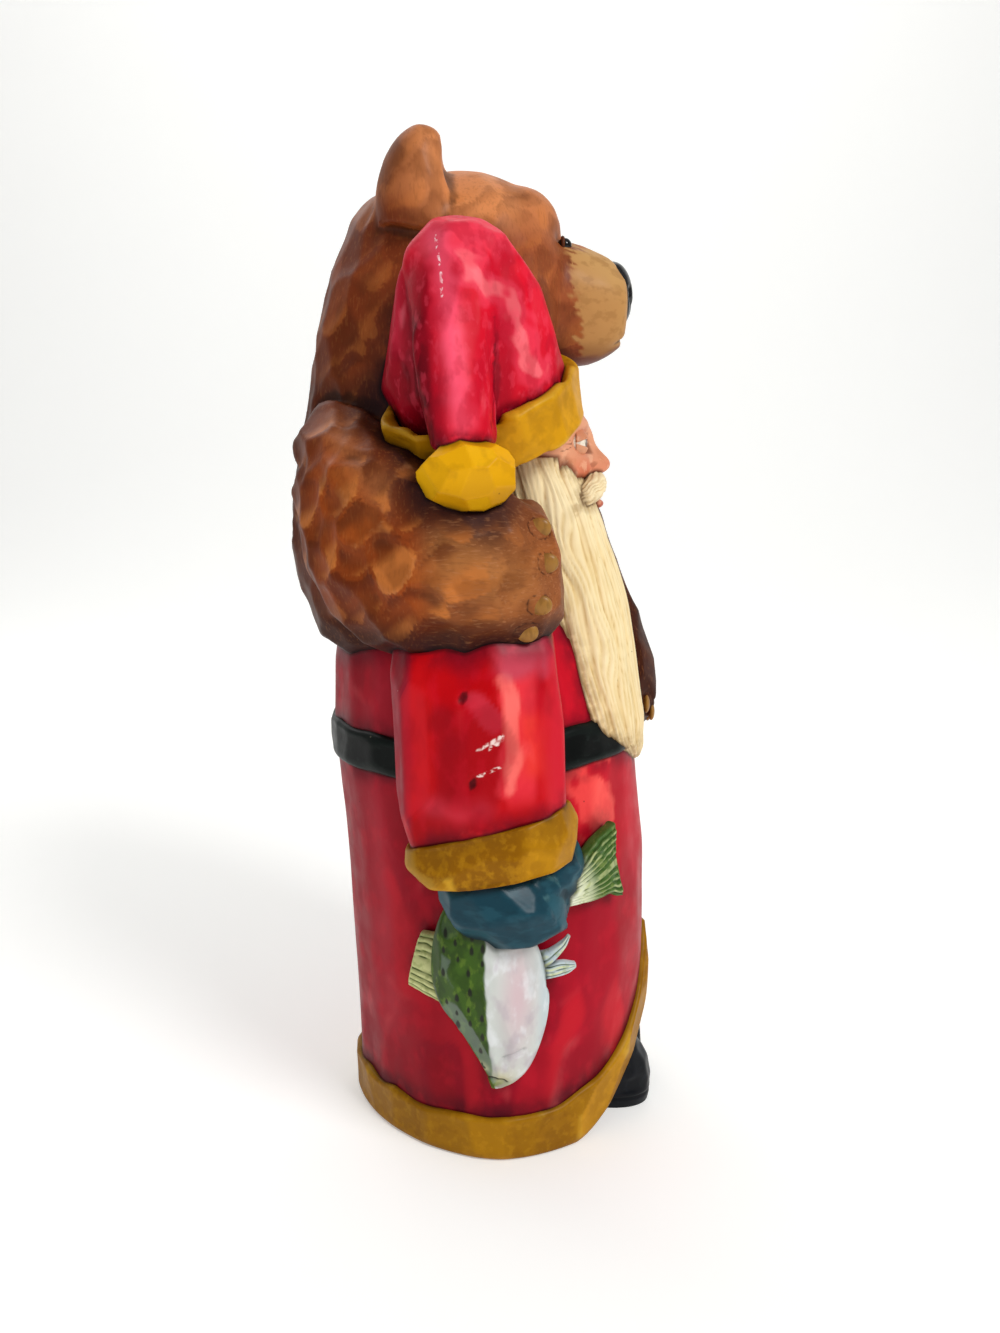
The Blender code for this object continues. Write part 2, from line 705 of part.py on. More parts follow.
def pompom():
    """Flat facets all round, as a knife leaves them."""
    ball = egg(POMPOM_CENTRE, POMPOM_RADII)
    carve(ball, POMPOM_CUT, depth=FACET_DEPTH)
    return ball


def flatten_underside(verts):
    for vert in verts:
        if vert.co.z < UNDERSIDE:
            vert.co.z = 0.0


def figurine():
    """All forms fused into one solid, thinned to few triangles, and set flat on its underside."""
    coat = fused([coat_body(), *sleeves()], "coat", soften=1)
    carve(coat, COAT_CUT, stretch=LONG_CUT)
    animal = bear()
    forms = [coat, hem(), belt(), *cuffs_and_mittens(), *trout(), *boots()]
    forms += [*claws(animal), animal, egg(NOSE_CENTRE, NOSE_RADII)]
    forms += [*head(), beard(), hat(), brim(), pompom()]
    whole = fused(forms, "figurine", voxel=LAST_VOXEL, soften=0)
    flatten_underside(whole.verts)
    data = bpy.data.meshes.new("santa_and_bear_figurine")
    whole.to_mesh(data)
    triangles = len(whole.faces) * 2
    whole.free()
    body = bpy.data.objects.new("santa_and_bear_figurine", data)
    bpy.context.scene.collection.objects.link(body)
    split = body.modifiers.new("triangles", "TRIANGULATE")
    split.quad_method = "SHORTEST_DIAGONAL"
    thin = body.modifiers.new("thin", "DECIMATE")
    thin.ratio = MOST_TRIANGLES / triangles
    body.data = evaluated(body)
    body.modifiers.clear()
    flatten_underside(body.data.vertices)
    return body


def paint(body):
    """The cast's main colour, which is the coat's red enamel."""
    red = bpy.data.materials.new("red_enamel")
    red.use_nodes = True
    shader = red.node_tree.nodes["Principled BSDF"]
    shader.inputs["Base Color"].default_value = (0.42, 0.012, 0.03, 1.0)
    shader.inputs["Roughness"].default_value = 0.38
    shader.inputs["Metallic"].default_value = 0.0
    body.data.materials.clear()
    body.data.materials.append(red)


def main():
    clear_scene()
    paint(figurine())


main()
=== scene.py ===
import math

import bmesh
import bpy
import numpy as np
from mathutils import Matrix, Vector, kdtree
from mathutils.bvhtree import BVHTree


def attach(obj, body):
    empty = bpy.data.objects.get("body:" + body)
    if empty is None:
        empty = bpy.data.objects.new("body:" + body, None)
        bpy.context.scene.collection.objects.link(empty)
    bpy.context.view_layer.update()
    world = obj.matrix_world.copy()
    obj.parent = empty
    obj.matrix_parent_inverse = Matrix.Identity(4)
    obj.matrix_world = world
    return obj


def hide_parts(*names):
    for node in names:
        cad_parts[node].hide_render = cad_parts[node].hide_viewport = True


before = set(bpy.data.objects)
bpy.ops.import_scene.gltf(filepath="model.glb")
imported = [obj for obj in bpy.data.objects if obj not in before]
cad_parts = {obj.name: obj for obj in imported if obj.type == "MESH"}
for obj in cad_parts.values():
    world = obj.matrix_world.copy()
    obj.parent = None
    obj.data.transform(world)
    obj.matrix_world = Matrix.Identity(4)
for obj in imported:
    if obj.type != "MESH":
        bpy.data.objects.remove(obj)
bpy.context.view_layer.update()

mm = 0.001
up = (0.0, 0.0, 1.0)
pieces = {}


# Numbers and curves: smoothStep rises from 0 to 1, and bell falls off on both sides of a line
def smoothStep(t):
    t = np.clip(t, 0.0, 1.0)
    return t * t * (3 - 2 * t)


def bell(distance, width):
    return np.exp(-((distance / width) ** 2))


def signedPower(value, power):
    return np.sign(value) * np.abs(value) ** power


# Rows of numbers on a smooth curve through the given ones
def through(rows, count):
    rows = [np.array(row, float) for row in rows]
    padded = [2 * rows[0] - rows[1], *rows, 2 * rows[-1] - rows[-2]]
    found = []
    for before, start, end, after in zip(padded, padded[1:], padded[2:], padded[3:]):
        for step in range(count):
            t = step / count
            bend = (2 * before - 5 * start + 4 * end - after) * t * t
            twist = (3 * start - before - 3 * end + after) * t * t * t
            found.append(0.5 * (2 * start + (end - before) * t + bend + twist))
    return np.array([*found, rows[-1]])


# Smooth random heights between about -1 and 1, size mm from hill to hill
def wander(points, size, seed, waves=14):
    chooser = np.random.default_rng(seed)
    total = np.zeros(len(points))
    for _ in range(waves):
        direction = chooser.normal(size=points.shape[1])
        direction *= 2 * math.pi / (size * np.linalg.norm(direction)) * chooser.uniform(0.6, 1.5)
        total += np.cos(points @ direction + chooser.uniform(0, 2 * math.pi))
    return total / math.sqrt(waves)


# How far each point is from a smooth line, in as many axes as the line has
def awayFrom(points, path, count=8):
    line = through(path, count)
    best = np.full(len(points), 1e9)
    for start, end in zip(line, line[1:]):
        along = end - start
        share = np.clip((points - start) @ along / (along @ along), 0, 1)
        best = np.minimum(best, np.linalg.norm(points - start - share[:, None] * along, axis=1))
    return best


# Surfaces are arrays: points, and quads whose last corner is repeated where they are triangles
def gridQuads(rows, columns, closedRows=False, closedColumns=True):
    index = np.arange(rows * columns).reshape(rows, columns)
    if closedRows:
        index = np.vstack([index, index[:1]])
    if closedColumns:
        index = np.hstack([index, index[:, :1]])
    corners = (index[:-1, :-1], index[:-1, 1:], index[1:, 1:], index[1:, :-1])
    return np.stack([corner.ravel() for corner in corners], axis=1)


def facingOut(points, quads):
    a, b, c, d = (points[quads[:, i]] for i in range(4))
    volume = np.einsum("ij,ij->", a, np.cross(b, c)) + np.einsum("ij,ij->", a, np.cross(c, d))
    return quads if volume > 0 else quads[:, [1, 0, 3, 2]]


# A grid's values as one list, with the two caps' middle points at its end
def capped(values):
    flat = values.reshape(-1, *values.shape[2:])
    return np.concatenate([flat, values[:1].mean(axis=1), values[-1:].mean(axis=1)])


# A closed body through rings of points
def skin(rings):
    rows, columns = rings.shape[:2]
    points = capped(rings)
    quads = [gridQuads(rows, columns)]
    ring = np.arange(columns)
    following = np.roll(ring, -1)
    for first, middle, flip in ((0, rows * columns, True), ((rows - 1) * columns, rows * columns + 1, False)):
        a, b = (following, ring) if flip else (ring, following)
        tip = np.full(columns, middle)
        quads.append(np.stack([a + first, b + first, tip, tip], axis=1))
    quads = np.vstack(quads)
    return points, facingOut(points, quads)


def ovalPoints(sides, power=2.0):
    angles = np.arange(sides) * 2 * math.pi / sides
    return angles, signedPower(np.cos(angles), 2 / power), signedPower(np.sin(angles), 2 / power)


def domeRows(before, end, length):
    if not length:
        return []
    ahead = (end[:3] - before[:3]) / np.linalg.norm(end[:3] - before[:3])
    turns = np.radians((12, 24, 36, 48, 58, 67, 75, 82))
    return [np.concatenate([end[:3] + ahead * length * math.sin(t), end[3:] * math.cos(t)]) for t in turns]


# Rings along stations (x, y, z, half width along across, other half width)
def limbRings(stations, across, domes=(0, 0), power=2.0, steps=12, sides=96):
    rows = through(stations, steps)
    first = domeRows(rows[1], rows[0], domes[0])
    last = domeRows(rows[-2], rows[-1], domes[1])
    rows = np.array([*first[::-1], *rows, *last])
    spine = rows[:, :3]
    ahead = np.gradient(spine, axis=0)
    ahead /= np.linalg.norm(ahead, axis=1)[:, None]
    side = np.array(across, float) - ahead * (ahead @ np.array(across, float))[:, None]
    side /= np.linalg.norm(side, axis=1)[:, None]
    other = np.cross(ahead, side)
    _, c, s = ovalPoints(sides, power)
    wide = side[:, None] * rows[:, 3, None, None] * c[None, :, None]
    return spine[:, None] + wide + other[:, None] * rows[:, 4, None, None] * s[None, :, None]


def turnMatrix(turn):
    turned = Matrix.Identity(3)
    for axis, degrees in zip("XYZ", turn):
        turned = Matrix.Rotation(math.radians(degrees), 3, axis) @ turned
    return np.array(turned)


# Rings of an ellipsoid, its poles along z before it is turned by degrees about x, y and z
def eggRings(centre, radii, turn=(0, 0, 0), rows=40, sides=72):
    latitudes = np.linspace(-math.pi / 2, math.pi / 2, rows + 2)[1:-1]
    longitudes = np.arange(sides) * 2 * math.pi / sides
    flat = np.cos(latitudes)[:, None]
    x, y = flat * np.cos(longitudes), flat * np.sin(longitudes)
    z = np.repeat(np.sin(latitudes)[:, None], sides, axis=1)
    unit = np.stack([x, y, z], axis=2) * np.array(radii)
    return unit @ turnMatrix(turn).T + np.array(centre)


# Moves points along one axis (0, 1 or 2), each by its own amount
def shifted(points, axis, amount):
    moved = points.copy()
    moved[:, axis] += amount
    return moved


def vertexNormals(points, quads):
    corners = points[quads]
    faces = np.cross(corners[:, 2] - corners[:, 0], corners[:, 3] - corners[:, 1])
    total = np.zeros_like(points)
    for i in range(4):
        for axis in range(3):
            total[:, axis] += np.bincount(quads[:, i], faces[:, axis], len(points))
    return total / np.maximum(np.linalg.norm(total, axis=1), 1e-9)[:, None]


# Each point's values averaged with its neighbours', over and over
def smoothed(values, quads, times):
    one = quads.ravel()
    two = np.roll(quads, -1, axis=1).ravel()
    here, there = np.concatenate([one, two]), np.concatenate([two, one])
    count = np.maximum(np.bincount(here, minlength=len(values)), 1)
    for _ in range(times):
        sums = [np.bincount(here, values[there, i], len(values)) for i in range(values.shape[1])]
        values = np.stack(sums, axis=1) / count[:, None]
    return values


# How deep each point lies below its surroundings, in mm: below zero where it stands out
def hollowness(points, quads, times):
    return np.einsum("ij,ij->i", smoothed(points, quads, times) - points, vertexNormals(points, quads))


def facesOf(quads):
    return [quad[:3] if quad[2] == quad[3] else quad for quad in quads.tolist()]


# Deletes every shell but the largest, which are the hollows between forms that overlap
def largestShell(mesh):
    left = set(mesh.verts)
    shells = []
    while left:
        shell = [left.pop()]
        for vert in shell:
            for edge in vert.link_edges:
                other = edge.other_vert(vert)
                if other in left:
                    left.remove(other)
                    shell.append(other)
        shells.append(shell)
    shells.sort(key=len)
    bmesh.ops.delete(mesh, geom=[vert for shell in shells[:-1] for vert in shell], context="VERTS")


# Closed bodies as one skin, softened where they meet
def fused(forms, voxel, soften):
    points, faces, count = [], [], 0
    for some, quads in forms:
        points.append(some)
        faces += facesOf(quads + count)
        count += len(some)
    data = bpy.data.meshes.new("fusing")
    data.from_pydata(np.vstack(points).tolist(), [], faces)
    body = bpy.data.objects.new("fusing", data)
    bpy.context.scene.collection.objects.link(body)
    fuse = body.modifiers.new("fuse", "REMESH")
    fuse.mode = "VOXEL"
    fuse.voxel_size = voxel
    smooth = body.modifiers.new("soften", "SMOOTH")
    smooth.factor = 0.5
    smooth.iterations = soften
    bpy.context.view_layer.update()
    whole = bmesh.new()
    shaped = body.evaluated_get(bpy.context.evaluated_depsgraph_get())
    whole.from_mesh(bpy.data.meshes.new_from_object(shaped))
    bpy.data.objects.remove(body, do_unlink=True)
    largestShell(whole)
    whole.verts.index_update()
    found = np.array([vert.co for vert in whole.verts])
    quads = np.array([[vert.index for vert in face.verts] for face in whole.faces])
    whole.free()
    return found, facingOut(found, quads)


# Carving
# Some of the points, picked at random, no two closer than most of the spacing
def scattered(placed, points, normals, spacing, seed):
    cells, chosen = {}, []
    around = [(i, j, k) for i in (-1, 0, 1) for j in (-1, 0, 1) for k in (-1, 0, 1)]
    closest = (spacing * 0.8) ** 2
    keys = np.floor(placed / spacing).astype(int).tolist()
    places = placed.tolist()
    for index in np.random.default_rng(seed).permutation(len(points)).tolist():
        x, y, z = places[index]
        i, j, k = keys[index]
        near = (other for a, b, c in around for other in cells.get((i + a, j + b, k + c), ()))
        if any((x - p) ** 2 + (y - q) ** 2 + (z - r) ** 2 < closest for p, q, r in near):
            continue
        cells.setdefault((i, j, k), []).append((x, y, z))
        chosen.append(index)
    return placed[chosen], points[chosen], normals[chosen]


# The points moved about smoothly, so that borders drawn between them run crooked
def warped(points, amount, size, seed):
    if not amount:
        return points
    return points + amount * np.stack([wander(points, size, seed + i) for i in range(3)], axis=1)


# Cuts shallow scoops all over, as a gouge leaves them, and gives each scoop's shade and where two meet.
# stretch makes the scoops longer, hollow makes them round, eased softens them, crooked bends their borders
# and uneven sets some deeper than others.
def carve(
    points, quads, spacing, depth, seed,
    stretch=(1, 1, 1), where=1.0, hollow=1.0, eased=2, crooked=0.0, uneven=0.0,
):
    normals = vertexNormals(points, quads)
    placed = warped(points, crooked, spacing * 1.6, seed + 2) / np.array(stretch, float)
    places, seats, ups = scattered(placed, points, normals, spacing, seed)
    tree = kdtree.KDTree(len(places))
    for i, place in enumerate(places):
        tree.insert(place, i)
    tree.balance()
    found = [tree.find_n(place, min(5, len(places))) for place in placed]
    owner = np.array([[hit[1] for hit in hits] for hits in found])
    away = np.array([[hit[2] for hit in hits] for hits in found])
    facing = np.einsum("ij,ikj->ik", normals, ups[owner])
    gap = np.einsum("ikj,ikj->ik", seats[owner] - points[:, None], ups[owner])
    leastFacing = 0.55
    plane = np.maximum(-depth, gap / np.maximum(facing, leastFacing))
    height = plane + depth * hollow * (away / spacing) ** 2 + depth * (1 - facing)
    shades = np.random.default_rng(seed + 1).random(len(places))
    height = np.where(facing < leastFacing, depth * 2, height) + depth * uneven * (shades[owner] - 0.5)
    order = np.sort(height, axis=1)
    cut = (order[:, :1] - depth) * np.reshape(where, (-1, 1))
    if eased:
        cut = smoothed(cut, quads, eased)
    moved = points + normals * cut
    tone = shades[owner[np.arange(len(points)), height.argmin(axis=1)]]
    ridge = np.exp(-(order[:, 1] - order[:, 0]) / (0.28 * depth)) * where
    soft = smoothed(np.stack([tone, ridge], axis=1), quads, 1 + eased // 2)
    return moved, soft[:, 0], soft[:, 1]


# Presses a soft V along a line, and gives how strongly each point is in it
def pressLine(points, quads, path, width, depth):
    strength = bell(awayFrom(points, path), width)
    return points - vertexNormals(points, quads) * (depth * strength)[:, None], strength


# Colour
def linear(code):
    values = (int(code[i:i + 2], 16) / 255 for i in (1, 3, 5))
    return np.array([v / 12.92 if v <= 0.04045 else ((v + 0.055) / 1.055) ** 2.4 for v in values])


# A colour for each point: the base, with each zone's colour laid over it by its strength
def zoned(count, base, *zones):
    colours = np.repeat(linear(base)[None], count, axis=0)
    for code, strength in zones:
        share = np.clip(np.broadcast_to(strength, (count,)), 0, 1)[:, None]
        colours = colours * (1 - share) + linear(code) * share
    return colours


# A node with its settings, whose inputs are values or other nodes' sockets
def addNode(tree, kind, settings=None, inputs=None):
    node = tree.nodes.new(kind)
    for name, value in (settings or {}).items():
        setattr(node, name, value)
    for name, value in (inputs or {}).items():
        if isinstance(value, bpy.types.NodeSocket):
            tree.links.new(value, node.inputs[name])
        else:
            node.inputs[name].default_value = value
    return node


def mathNode(tree, operation, first, second):
    return addNode(tree, "ShaderNodeMath", {"operation": operation}, {0: first, 1: second}).outputs[0]


# Noise and specks are laid out in units of their size, and stretched along the axes
def patternSeat(tree, place, size, stretch):
    inputs = {0: place, 1: [1 / (size * share) for share in stretch]}
    return addNode(tree, "ShaderNodeVectorMath", {"operation": "MULTIPLY"}, inputs).outputs[0]


def noiseNode(tree, place, size, stretch, detail):
    inputs = {"Vector": patternSeat(tree, place, size, stretch), "Scale": 1.0, "Detail": detail}
    return addNode(tree, "ShaderNodeTexNoise", None, inputs).outputs[0]


# Where a layer of paint lies: by an attribute, by soft noise or by small specks
def maskFor(tree, place, kind, *numbers):
    if kind == "by":
        name, start, end = numbers
        value = addNode(tree, "ShaderNodeAttribute", {"attribute_name": name}).outputs["Fac"]
    if kind == "noise":
        size, stretch, start, end = numbers
        value = noiseNode(tree, place, size, stretch, 3.0)
    if kind == "specks":
        size, stretch, radius, share = numbers
        seat = patternSeat(tree, place, size, stretch)
        cells = addNode(tree, "ShaderNodeTexVoronoi", None, {"Vector": seat, "Scale": 1.0})
        chosen = mathNode(tree, "LESS_THAN", cells.outputs["Color"], share)
        far = mathNode(tree, "SUBTRACT", 1.0, chosen)
        value = mathNode(tree, "ADD", cells.outputs["Distance"], far)
        start, end = radius, radius * 0.7
    ranged = {"Value": value, "From Min": start, "From Max": end}
    return addNode(tree, "ShaderNodeMapRange", {"interpolation_type": "SMOOTHSTEP"}, ranged).outputs[0]


# What the looks share: how strongly bare paint shines, how rough its varnish is, and the size of its sheen
paint = {"refraction": 1.5, "shine": 0.07, "varnishRough": 0.25, "sheenSize": 7.0}


# Enamel over a carved cast: the zone colours, the look's layers over them, then sheen and fine relief.
# A layer is a colour, its strength and the masks that it is kept to.
def paintedMaterial(name, look):
    material = bpy.data.materials.new(name)
    material.use_nodes = True
    tree = material.node_tree
    shader = tree.nodes["Principled BSDF"]
    shader.inputs["IOR"].default_value = paint["refraction"]
    shader.inputs["Specular IOR Level"].default_value = paint["shine"]
    shader.inputs["Coat Weight"].default_value = look["varnish"]
    shader.inputs["Coat Roughness"].default_value = look.get("varnishRough", paint["varnishRough"])
    where = addNode(tree, "ShaderNodeTexCoord").outputs["Object"]
    inputs = {0: where, "Scale": 1 / mm}
    place = addNode(tree, "ShaderNodeVectorMath", {"operation": "SCALE"}, inputs).outputs[0]
    colour = addNode(tree, "ShaderNodeAttribute", {"attribute_name": "zone"}).outputs["Color"]
    for code, amount, *masks in look["layers"]:
        strength = amount
        for mask in masks:
            strength = mathNode(tree, "MULTIPLY", maskFor(tree, place, *mask), strength)
        mixed = {0: strength, 6: colour, 7: (*linear(code), 1.0)}
        colour = addNode(tree, "ShaderNodeMix", {"data_type": "RGBA"}, mixed).outputs[2]
    tree.links.new(colour, shader.inputs["Base Color"])
    smoothest, roughest = look["rough"]
    sheen = maskFor(tree, place, "noise", paint["sheenSize"], (1, 1, 1), 0.3, 0.7)
    ranged = {"Value": sheen, "To Min": smoothest, "To Max": roughest}
    tree.links.new(addNode(tree, "ShaderNodeMapRange", None, ranged).outputs[0], shader.inputs["Roughness"])
    normal = None
    for size, stretch, height in look["relief"]:
        noise = noiseNode(tree, place, size, stretch, 2.0)
        inputs = {"Height": noise, "Strength": 1.0, "Distance": height * mm}
        if normal:
            inputs["Normal"] = normal
        normal = addNode(tree, "ShaderNodeBump", None, inputs).outputs[0]
    tree.links.new(normal, shader.inputs["Normal"])
    return material


# Keeps a piece until all are there, so that each can be shaded where the others touch it
def addPiece(name, slot, look, points, quads, zone, **fields):
    pieces[name] = {"slot": slot, "look": look, "points": points, "quads": quads, "zone": zone}
    pieces[name]["fields"] = fields
    print("shaped", name, len(quads))


# Dark paint settles in what is hollow, and wears off what stands out
def hollowFields(points, quads, fine=0.10, broad=0.9):
    small, large = hollowness(points, quads, 4), hollowness(points, quads, 40)
    return {
        "cavity": np.clip(small / fine, 0, 1) * 0.6 + np.clip(large / broad, 0, 1) * 0.6,
        "worn": np.clip(-small / fine, 0, 1),
    }


coat = {
    # level, centre in y, half width in x, half depth in y
    "sections": (
        (0, 0.0, 44.6, 46.4), (14, 0.0, 44.8, 46.4), (45, 0.2, 45.4, 46.8), (80, 1.2, 45.8, 47.0),
        (105, 3.4, 45.6, 46.8), (118, 4.6, 45.2, 46.6), (128, 5.6, 44.0, 45.4), (138, 7.6, 42.6, 43.0),
        (150, 9.8, 40.0, 40.4), (165, 10.0, 36.0, 36.4), (180, 8.0, 29.0, 29.0), (194, 5.0, 19.0, 20.0),
    ),
    "hemPower": 1.74, "coatPower": 2.0, "roundFrom": 60.0,
    "openingHeight": 42.0, "openingHalfWidth": 37.0, "openingDepth": 7.0,
    "openingEdge": 1.2, "openingCurve": 1.2,
    "hemHeight": 13.6, "hemRise": 43.0, "hemCurve": 1.6, "hemProud": 1.4, "hemCut": (10.0, 0.5),
    "beltLevel": 115.5, "beltHeight": 11.4, "beltRise": 3.4, "beltProud": 1.4, "beltCut": (9.0, 0.35),
    "trimRoot": 2.5, "cut": (13.0, 0.6), "around": 280, "levels": 190,
    # where the painted coral highlight lies below the belt
    "highlightPath": ((-21.5, 117), (-26.4, 110), (-28.6, 101)),
}
coatTable = np.array(coat["sections"], float)


# Points of the coat. Angle 0 is his right side, and 90 degrees his front
def coatPoints(angle, level, out=0.0):
    centre, wide, deep = (np.interp(level, coatTable[:, 0], coatTable[:, i]) for i in (1, 2, 3))
    power = coat["hemPower"] + (coat["coatPower"] - coat["hemPower"]) * smoothStep(level / coat["roundFrom"])
    c, s = signedPower(np.cos(angle), 2 / power), signedPower(np.sin(angle), 2 / power)
    return np.stack([-(wide + out) * c, centre - (deep + out) * s, level + 0 * c], axis=-1)


def openingLevel(x):
    share = np.maximum(0.0, 1 - np.abs(x) / coat["openingHalfWidth"])
    return coat["openingHeight"] * share ** coat["openingCurve"]


# The trim's lower and upper level, which rise with the parting in front
def hemEdges(angle):
    x = coatPoints(angle, np.full_like(angle, coat["hemHeight"]))[:, 0]
    front = np.sin(angle) > 0
    share = np.maximum(0.0, 1 - np.abs(x) / coatTable[0, 2])
    rise = coat["hemRise"] * share ** coat["hemCurve"]
    return np.where(front, openingLevel(x), 0.0), coat["hemHeight"] + np.where(front, rise, 0.0)


# Where the trim's upper edge lies from his right to his left, and behind him
def hemLine():
    x = np.linspace(-coatTable[0, 2], coatTable[0, 2], 60)
    rise = coat["hemRise"] * (1 - np.abs(x) / coatTable[0, 2]) ** coat["hemCurve"]
    return np.append(x, 99.0), np.append(coat["hemHeight"] + rise, coat["hemHeight"])


def beltEdges(angle):
    level = coat["beltLevel"] + coat["beltRise"] * smoothStep((np.sin(angle) - 0.05) / 0.7)
    return level, level + coat["beltHeight"]


# A strip of trim round the coat with eased edges. ripple moves its edges up and down
def bandSurface(edges, proud, around, across, ripple, seed):
    angle = np.radians(np.linspace(0, 360, around, endpoint=False))
    bottom, top = edges(angle)
    turning = np.stack([np.cos(angle), np.sin(angle)], axis=1) * 45.0
    top = top + ripple * wander(turning, 16.0, seed)
    columns = []
    for u in np.linspace(0, 1, across + 1):
        rounded = proud * (1 - abs(2 * u - 1) ** 5) ** 0.5
        columns.append(coatPoints(angle, bottom + (top - bottom) * u, rounded))
    columns.append(coatPoints(angle, top, -coat["trimRoot"]))
    columns.append(coatPoints(angle, bottom, -coat["trimRoot"]))
    grid = np.stack(columns, axis=1)
    points = grid.reshape(-1, 3)
    return points, facingOut(points, gridQuads(*grid.shape[:2], closedRows=True))


# Red enamel brushed on a carved cast: deep crimson, with painted coral highlights along its ridges and
# painted shade near other pieces
redLook = {
    "name": "red_enamel_brushed",
    "layers": (
        ("#8C0414", 0.50, ("by", "tone", 0.42, 0.0)),
        ("#E4202C", 0.50, ("by", "tone", 0.62, 1.0)),
        # painted highlight: coral along the ridges
        ("#FF6A6C", 0.40, ("by", "ridge", 0.35, 1.0), ("noise", 9.0, (1, 1, 2), 0.42, 0.60)),
        ("#98041C", 0.40, ("noise", 14.0, (1, 1, 1.6), 0.48, 0.64)),
        ("#D0142C", 0.24, ("noise", 6.0, (1, 1, 1.4), 0.48, 0.66)),
        ("#3A0410", 0.70, ("by", "cavity", 0.2, 1.0)),
        # painted shade spreading from other pieces, and a dark line where they meet
        ("#4A0418", 0.62, ("by", "gap", 6.5, 0.0), ("noise", 6.0, (1, 1, 1), 0.22, 0.60)),
        ("#2C0208", 0.70, ("by", "gap", 1.0, 0.1)),
        ("#FFD8D0", 0.75, ("specks", 13.0, (1, 1, 1), 0.035, 0.35)),
        ("#2A0408", 0.70, ("specks", 8.0, (1, 1, 1), 0.035, 0.30)),
        ("#FFE8E0", 0.85, ("by", "chip", 0.35, 0.8), ("noise", 1.1, (1, 2, 1), 0.38, 0.52)),
        ("#2A0608", 0.95, ("by", "ink", 0.35, 0.85)),
    ),
    "rough": (0.36, 0.50), "varnish": 0.04,
    "relief": ((5.0, (1, 1, 2.2), 0.10), (1.2, (1, 1, 1.6), 0.02), (0.5, (1, 1, 1), 0.014)),
}


def coatBody():
    angle = np.arange(coat["around"]) * 2 * math.pi / coat["around"]
    rings = []
    for level in np.linspace(0, coatTable[-1, 0], coat["levels"] + 1):
        levels = np.full_like(angle, level)
        surface = coatPoints(angle, levels)
        inside = smoothStep((openingLevel(surface[:, 0]) - level) / coat["openingEdge"]) * (surface[:, 1] < 0)
        rings.append(coatPoints(angle, levels, -coat["openingDepth"] * inside))
    points, quads = skin(np.array(rings))
    flat = smoothStep((points[:, 2] - 1) / 3)
    points, tone, ridge = carve(points, quads, *coat["cut"], 21, (1, 1, 2.2), where=flat, eased=8)
    x, y, z = points.T
    front = smoothStep((-y - 6) / 26)
    above = z - np.interp(x * (y < 0) + 99 * (y >= 0), *hemLine())
    side = points[:, 1:]
    patch = awayFrom(side, coat["highlightPath"]) + 2.2 * wander(points, 7.0, 22) + 9 * (x > 0)
    zone = zoned(
        len(points), "#B00826",
        ("#8C041C", smoothStep((y - 4) / 16) * 0.85),  # painted shade, darker toward his back
        # painted reflection: a pink sheen down his back edge on his right side
        ("#C83040", bell(y - 34, 5) * smoothStep((z - 20) / 20) * (x < 0) * 0.45),
        ("#D01024", bell(awayFrom(side, [(-18, 146), (-20, 130)]), 10) * (x < 0) * 0.8),  # chest
        ("#D40C24", bell(awayFrom(side, [(-22, 116), (-28, 98)]), 13) * 0.9),
        ("#FF6058", smoothStep((5.6 - patch) / 1.4) * 0.85),  # painted highlight: coral planes below the belt
        ("#A0081C", front * smoothStep((88 - z) / 24) * 0.45),
        ("#80041A", smoothStep((46 - z) / 24) * 0.5),  # deeper toward the hem
        ("#480312", bell(np.maximum(above, 0), 5.5) * 0.85),  # dark wash and painted shade along the trim's upper edge
        ("#7A0418", bell(awayFrom(side, [(-22, 84), (-14, 60), (-10, 36)]), 11) * 0.45),
        ("#300510", (openingLevel(x) > z + 1.2) * (y < 0)),  # inside the parting
    )
    fields = hollowFields(points, quads)
    addPiece("coat", "coat_red", redLook, points, quads, zone, tone=tone, ridge=ridge, **fields)


coatBody()

sleeve = {
    "stations": (
        (-31, 9.0, 174, 15.0, 10.0), (-38, 8.0, 162, 20.0, 12.0), (-43.5, 7.0, 150, 22.6, 13.8),
        (-46.5, 6.2, 138, 23.0, 14.6), (-48.0, 5.6, 122, 22.8, 14.8), (-49.0, 4.2, 110, 21.8, 14.0),
        (-49.5, 2.9, 101, 20.4, 13.2),
    ),
    "cut": (11.0, 0.95),
    "dents": ((9.5, 143.4), (7.0, 121.1)),
    "scratches": (((5.6, 129.9), (-1.3, 134.2)), ((5.7, 123.0), (0.0, 125.5)), ((2.6, 130.4), (-0.6, 132.2))),
    # lines along which the sleeve's facet colours are painted, coral and low among them being painted
    # highlights
    "facets": {
        "back": ((21, 149), (19, 134), (20, 120)), "middle": ((13.4, 138), (12.6, 118)),
        "rose": ((6.4, 141), (2.4, 138)), "coral": ((-1.6, 148), (-3.6, 134), (-2.6, 120)),
        "orange": ((-7.6, 137), (-8.4, 125)), "low": ((17.6, 114), (10, 112.6), (5, 115)),
    },
}


def mirrored(rows):
    return [(-row[0], *row[1:]) for row in rows]


